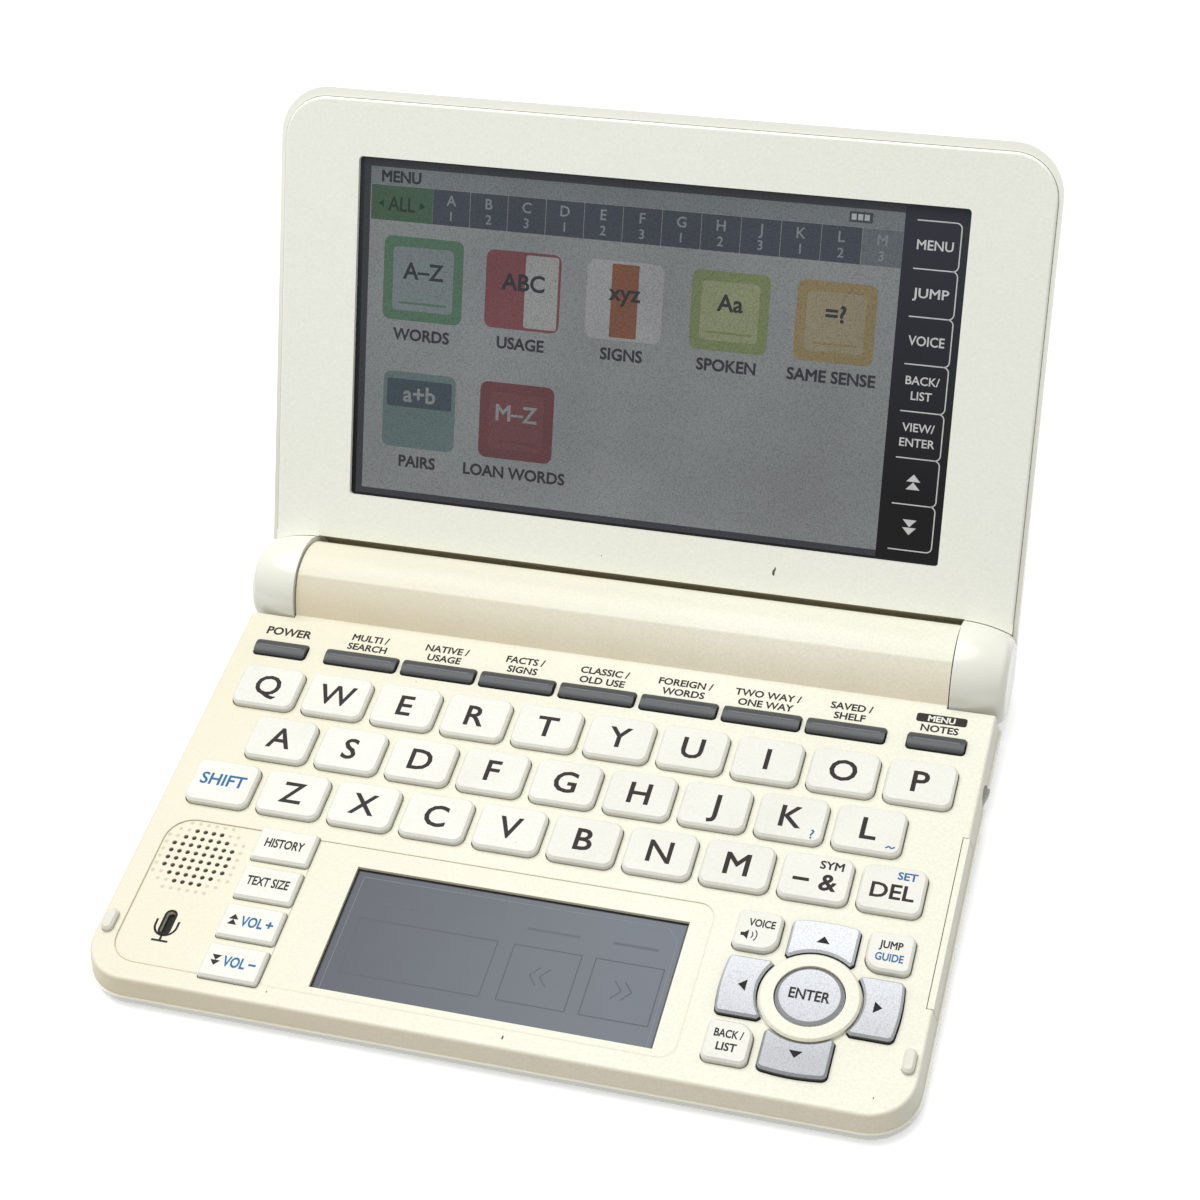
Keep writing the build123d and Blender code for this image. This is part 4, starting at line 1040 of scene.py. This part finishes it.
def drawTile(marks, x, y, half, kind, tint, second, sign, name):
    # a tile with a generic sign
    left, right, low, high = x - half, x + half, y - half, y + half
    marks.box(left, low, right, high, tint, 1, tile["round"])
    inLeft, inLow, inRight, inHigh, bend = tile["inner"][kind]
    marks.box(left + inLeft, low + inLow, right - inRight, high - inHigh, second, 2, bend)
    if kind == "frame":
        rule = tile["rule"]
        marks.box(left + rule, low + rule, right - rule, low + tile["ruleHigh"], tint, 3)
    lift = tile["topSignLift" if kind == "top" else "signLift"]
    signTint = picture["paleSign" if sign in tile["paleSigns"] else "word"]
    marks.words(sign, tile["sign"], x, y + lift, signTint, None, tile["signWeight"], 3)
    marks.words(name, tile["name"], x, low - tile["nameDrop"], picture["word"], None,
              tile["nameWeight"], 2)


def drawPicture():
    marks = screenInk()
    for corners in picture["rims"]:
        marks.box(*corners, picture["rim"])
    marks.box(picture["left"], picture["low"], picture["right"], picture["high"], picture["ground"])
    drawHeader(marks)
    for values in tiles:
        drawTile(marks, *values)
    marks.finish("displayPicture", "lid", "screen")


softKeys = {
    "left": 48.6, "right": 56.7, "high": 72.1, "pitch": 8.67, "round": 1.0, "line": 0.22,
    "middle": 52.2, "double": (1.5, 1.4), "single": (1.7, 6.6), "rows": 7,
    "words": [("MENU", ""), ("JUMP", ""), ("VOICE", ""), ("BACK/", "LIST"), ("VIEW/", "ENTER")],
    "arrow": {"start": -1.5, "step": 1.5, "half": 1.3, "height": 1.4},
}


def drawSoftKeys():
    # printed column of seven touch marks beside the display
    marks = screenInk()
    left, right, bend, line = (softKeys[key] for key in ("left", "right", "round", "line"))
    pitch, rows, white = softKeys["pitch"], softKeys["rows"], markTints["touch"]
    inner = right - bend
    for row in range(rows + 1):
        y = softKeys["high"] - row * pitch
        marks.stroke([(left, y), (inner, y)], line, white)
        if row < rows:
            marks.arc(inner, y - bend, bend, line, 0, 90, white, steps=5)
            marks.stroke([(right, y - bend), (right, y - pitch + bend)], line, white)
            marks.arc(inner, y - pitch + bend, bend, line, 270, 360, white, steps=5)
    x = softKeys["middle"]
    middles = [softKeys["high"] - (row + 0.5) * pitch for row in range(rows)]
    for y, (first, second) in zip(middles, softKeys["words"]):
        if second:
            height, step = softKeys["double"]
            marks.words(first, height, x, y + step, white)
            marks.words(second, height, x, y - step, white)
        else:
            height, width = softKeys["single"]
            marks.words(first, height, x, y, white, width)
    for y, way in zip(middles[-2:], (1, -1)):
        marks.doubleArrow(x, y, way, softKeys["arrow"], white)
    marks.finish("softKeyColumn", "lid")


drawPicture()
drawSoftKeys()
print("display drawn")


light = {
    "world": 0.55, "seenWorld": 1.0, "place": (-0.25, 0.15, 0.95), "size": 1.1, "power": 9.6,
    "floorHalf": 4.0, "floor": (0.42, 0.42, 0.42, 1), "seenFloor": (0.9, 0.9, 0.9, 1),
    "glow": 0.45, "white": (1, 1, 1, 1),
}


def mixByRay(tree, kinds, first, second, out):
    # the second shader for rays of these kinds, the first for all others
    path = tree.nodes.new("ShaderNodeLightPath").outputs
    share = path[kinds[0]]
    for kind in kinds[1:]:
        share = Shading(tree).calc("MAXIMUM", share, path[kind])
    mixed = addNode(tree, "ShaderNodeMixShader", {0: share, 1: first, 2: second})
    tree.links.new(mixed.outputs[0], tree.nodes.new(out).inputs["Surface"])


def makeStage():
    material = bpy.data.materials.new("paleFloor")
    material.use_nodes = True
    tree = material.node_tree
    tree.nodes.clear()
    floorTree = Shading(tree)
    ground, seen = (floorTree.add("BsdfDiffuse", {"Color": light[key]})[0]
                    for key in ("floor", "seenFloor"))
    glow = floorTree.add("Emission", {"Color": light["white"], "Strength": light["glow"]})[0]
    both = floorTree.add("AddShader", {0: seen, 1: glow})[0]
    mixByRay(tree, ["Is Camera Ray", "Is Glossy Ray", "Is Transmission Ray"], ground, both,
             "ShaderNodeOutputMaterial")
    shape = bmesh.new()
    bmesh.ops.create_grid(shape, x_segments=2, y_segments=2, size=light["floorHalf"])
    floor = newPiece("floor", newMesh("floor", shape, material))


def makeWorld():
    world = bpy.data.worlds.new("softRoom")
    bpy.context.scene.world = world
    world.use_nodes = True
    tree = world.node_tree
    tree.nodes.clear()
    room, seen = (Shading(tree).add("Background", {"Color": light["white"],
                                                   "Strength": strength})[0]
                  for strength in (light["world"], light["seenWorld"]))
    mixByRay(tree, ["Is Camera Ray", "Is Transmission Ray"], room, seen, "ShaderNodeOutputWorld")


def makeLamps():
    lamp = bpy.data.lights.new("topPanel", "AREA")
    lamp.shape = "DISK"
    lamp.size = light["size"]
    lamp.energy = light["power"]
    holder = newPiece("topPanel", lamp)
    holder.location = light["place"]
    holder.rotation_euler = (-holder.location).to_track_quat("-Z", "Y").to_euler()


def makeCamera():
    # all in deck millimetres; the lens is for a 36 mm sensor over a 1200 pixel frame
    values = {
        "place": (112.5, -198.82, 339.0), "forward": (-0.2533, 0.6423, -0.7234),
        "up": (-0.1273, 0.7191, 0.6831), "focal": 2423.43, "centre": (600.66, 595.04),
        "frame": 1200, "sensor": 36.0, "nearest": 0.01,
    }
    lens = bpy.data.cameras.new("view")
    lens.sensor_width = values["sensor"]
    lens.lens = values["focal"] / values["frame"] * lens.sensor_width
    lens.shift_x = (values["frame"] / 2 - values["centre"][0]) / values["frame"]
    lens.shift_y = (values["centre"][1] - values["frame"] / 2) / values["frame"]
    lens.clip_start = values["nearest"]
    turn = deckFrame.to_3x3().normalized()
    forward = (turn @ Vector(values["forward"])).normalized()
    up = (turn @ Vector(values["up"])).normalized()
    right = forward.cross(up).normalized()
    matrix = Matrix((right, right.cross(forward), -forward)).transposed().to_4x4()
    matrix.translation = deckFrame @ Vector(values["place"])
    camera = newPiece("view", lens)
    camera.matrix_world = matrix
    bpy.context.scene.camera = camera


makeStage()
makeWorld()
makeLamps()
makeCamera()
bpy.context.scene.view_settings.view_transform = "Standard"
print("stage, light and camera set")
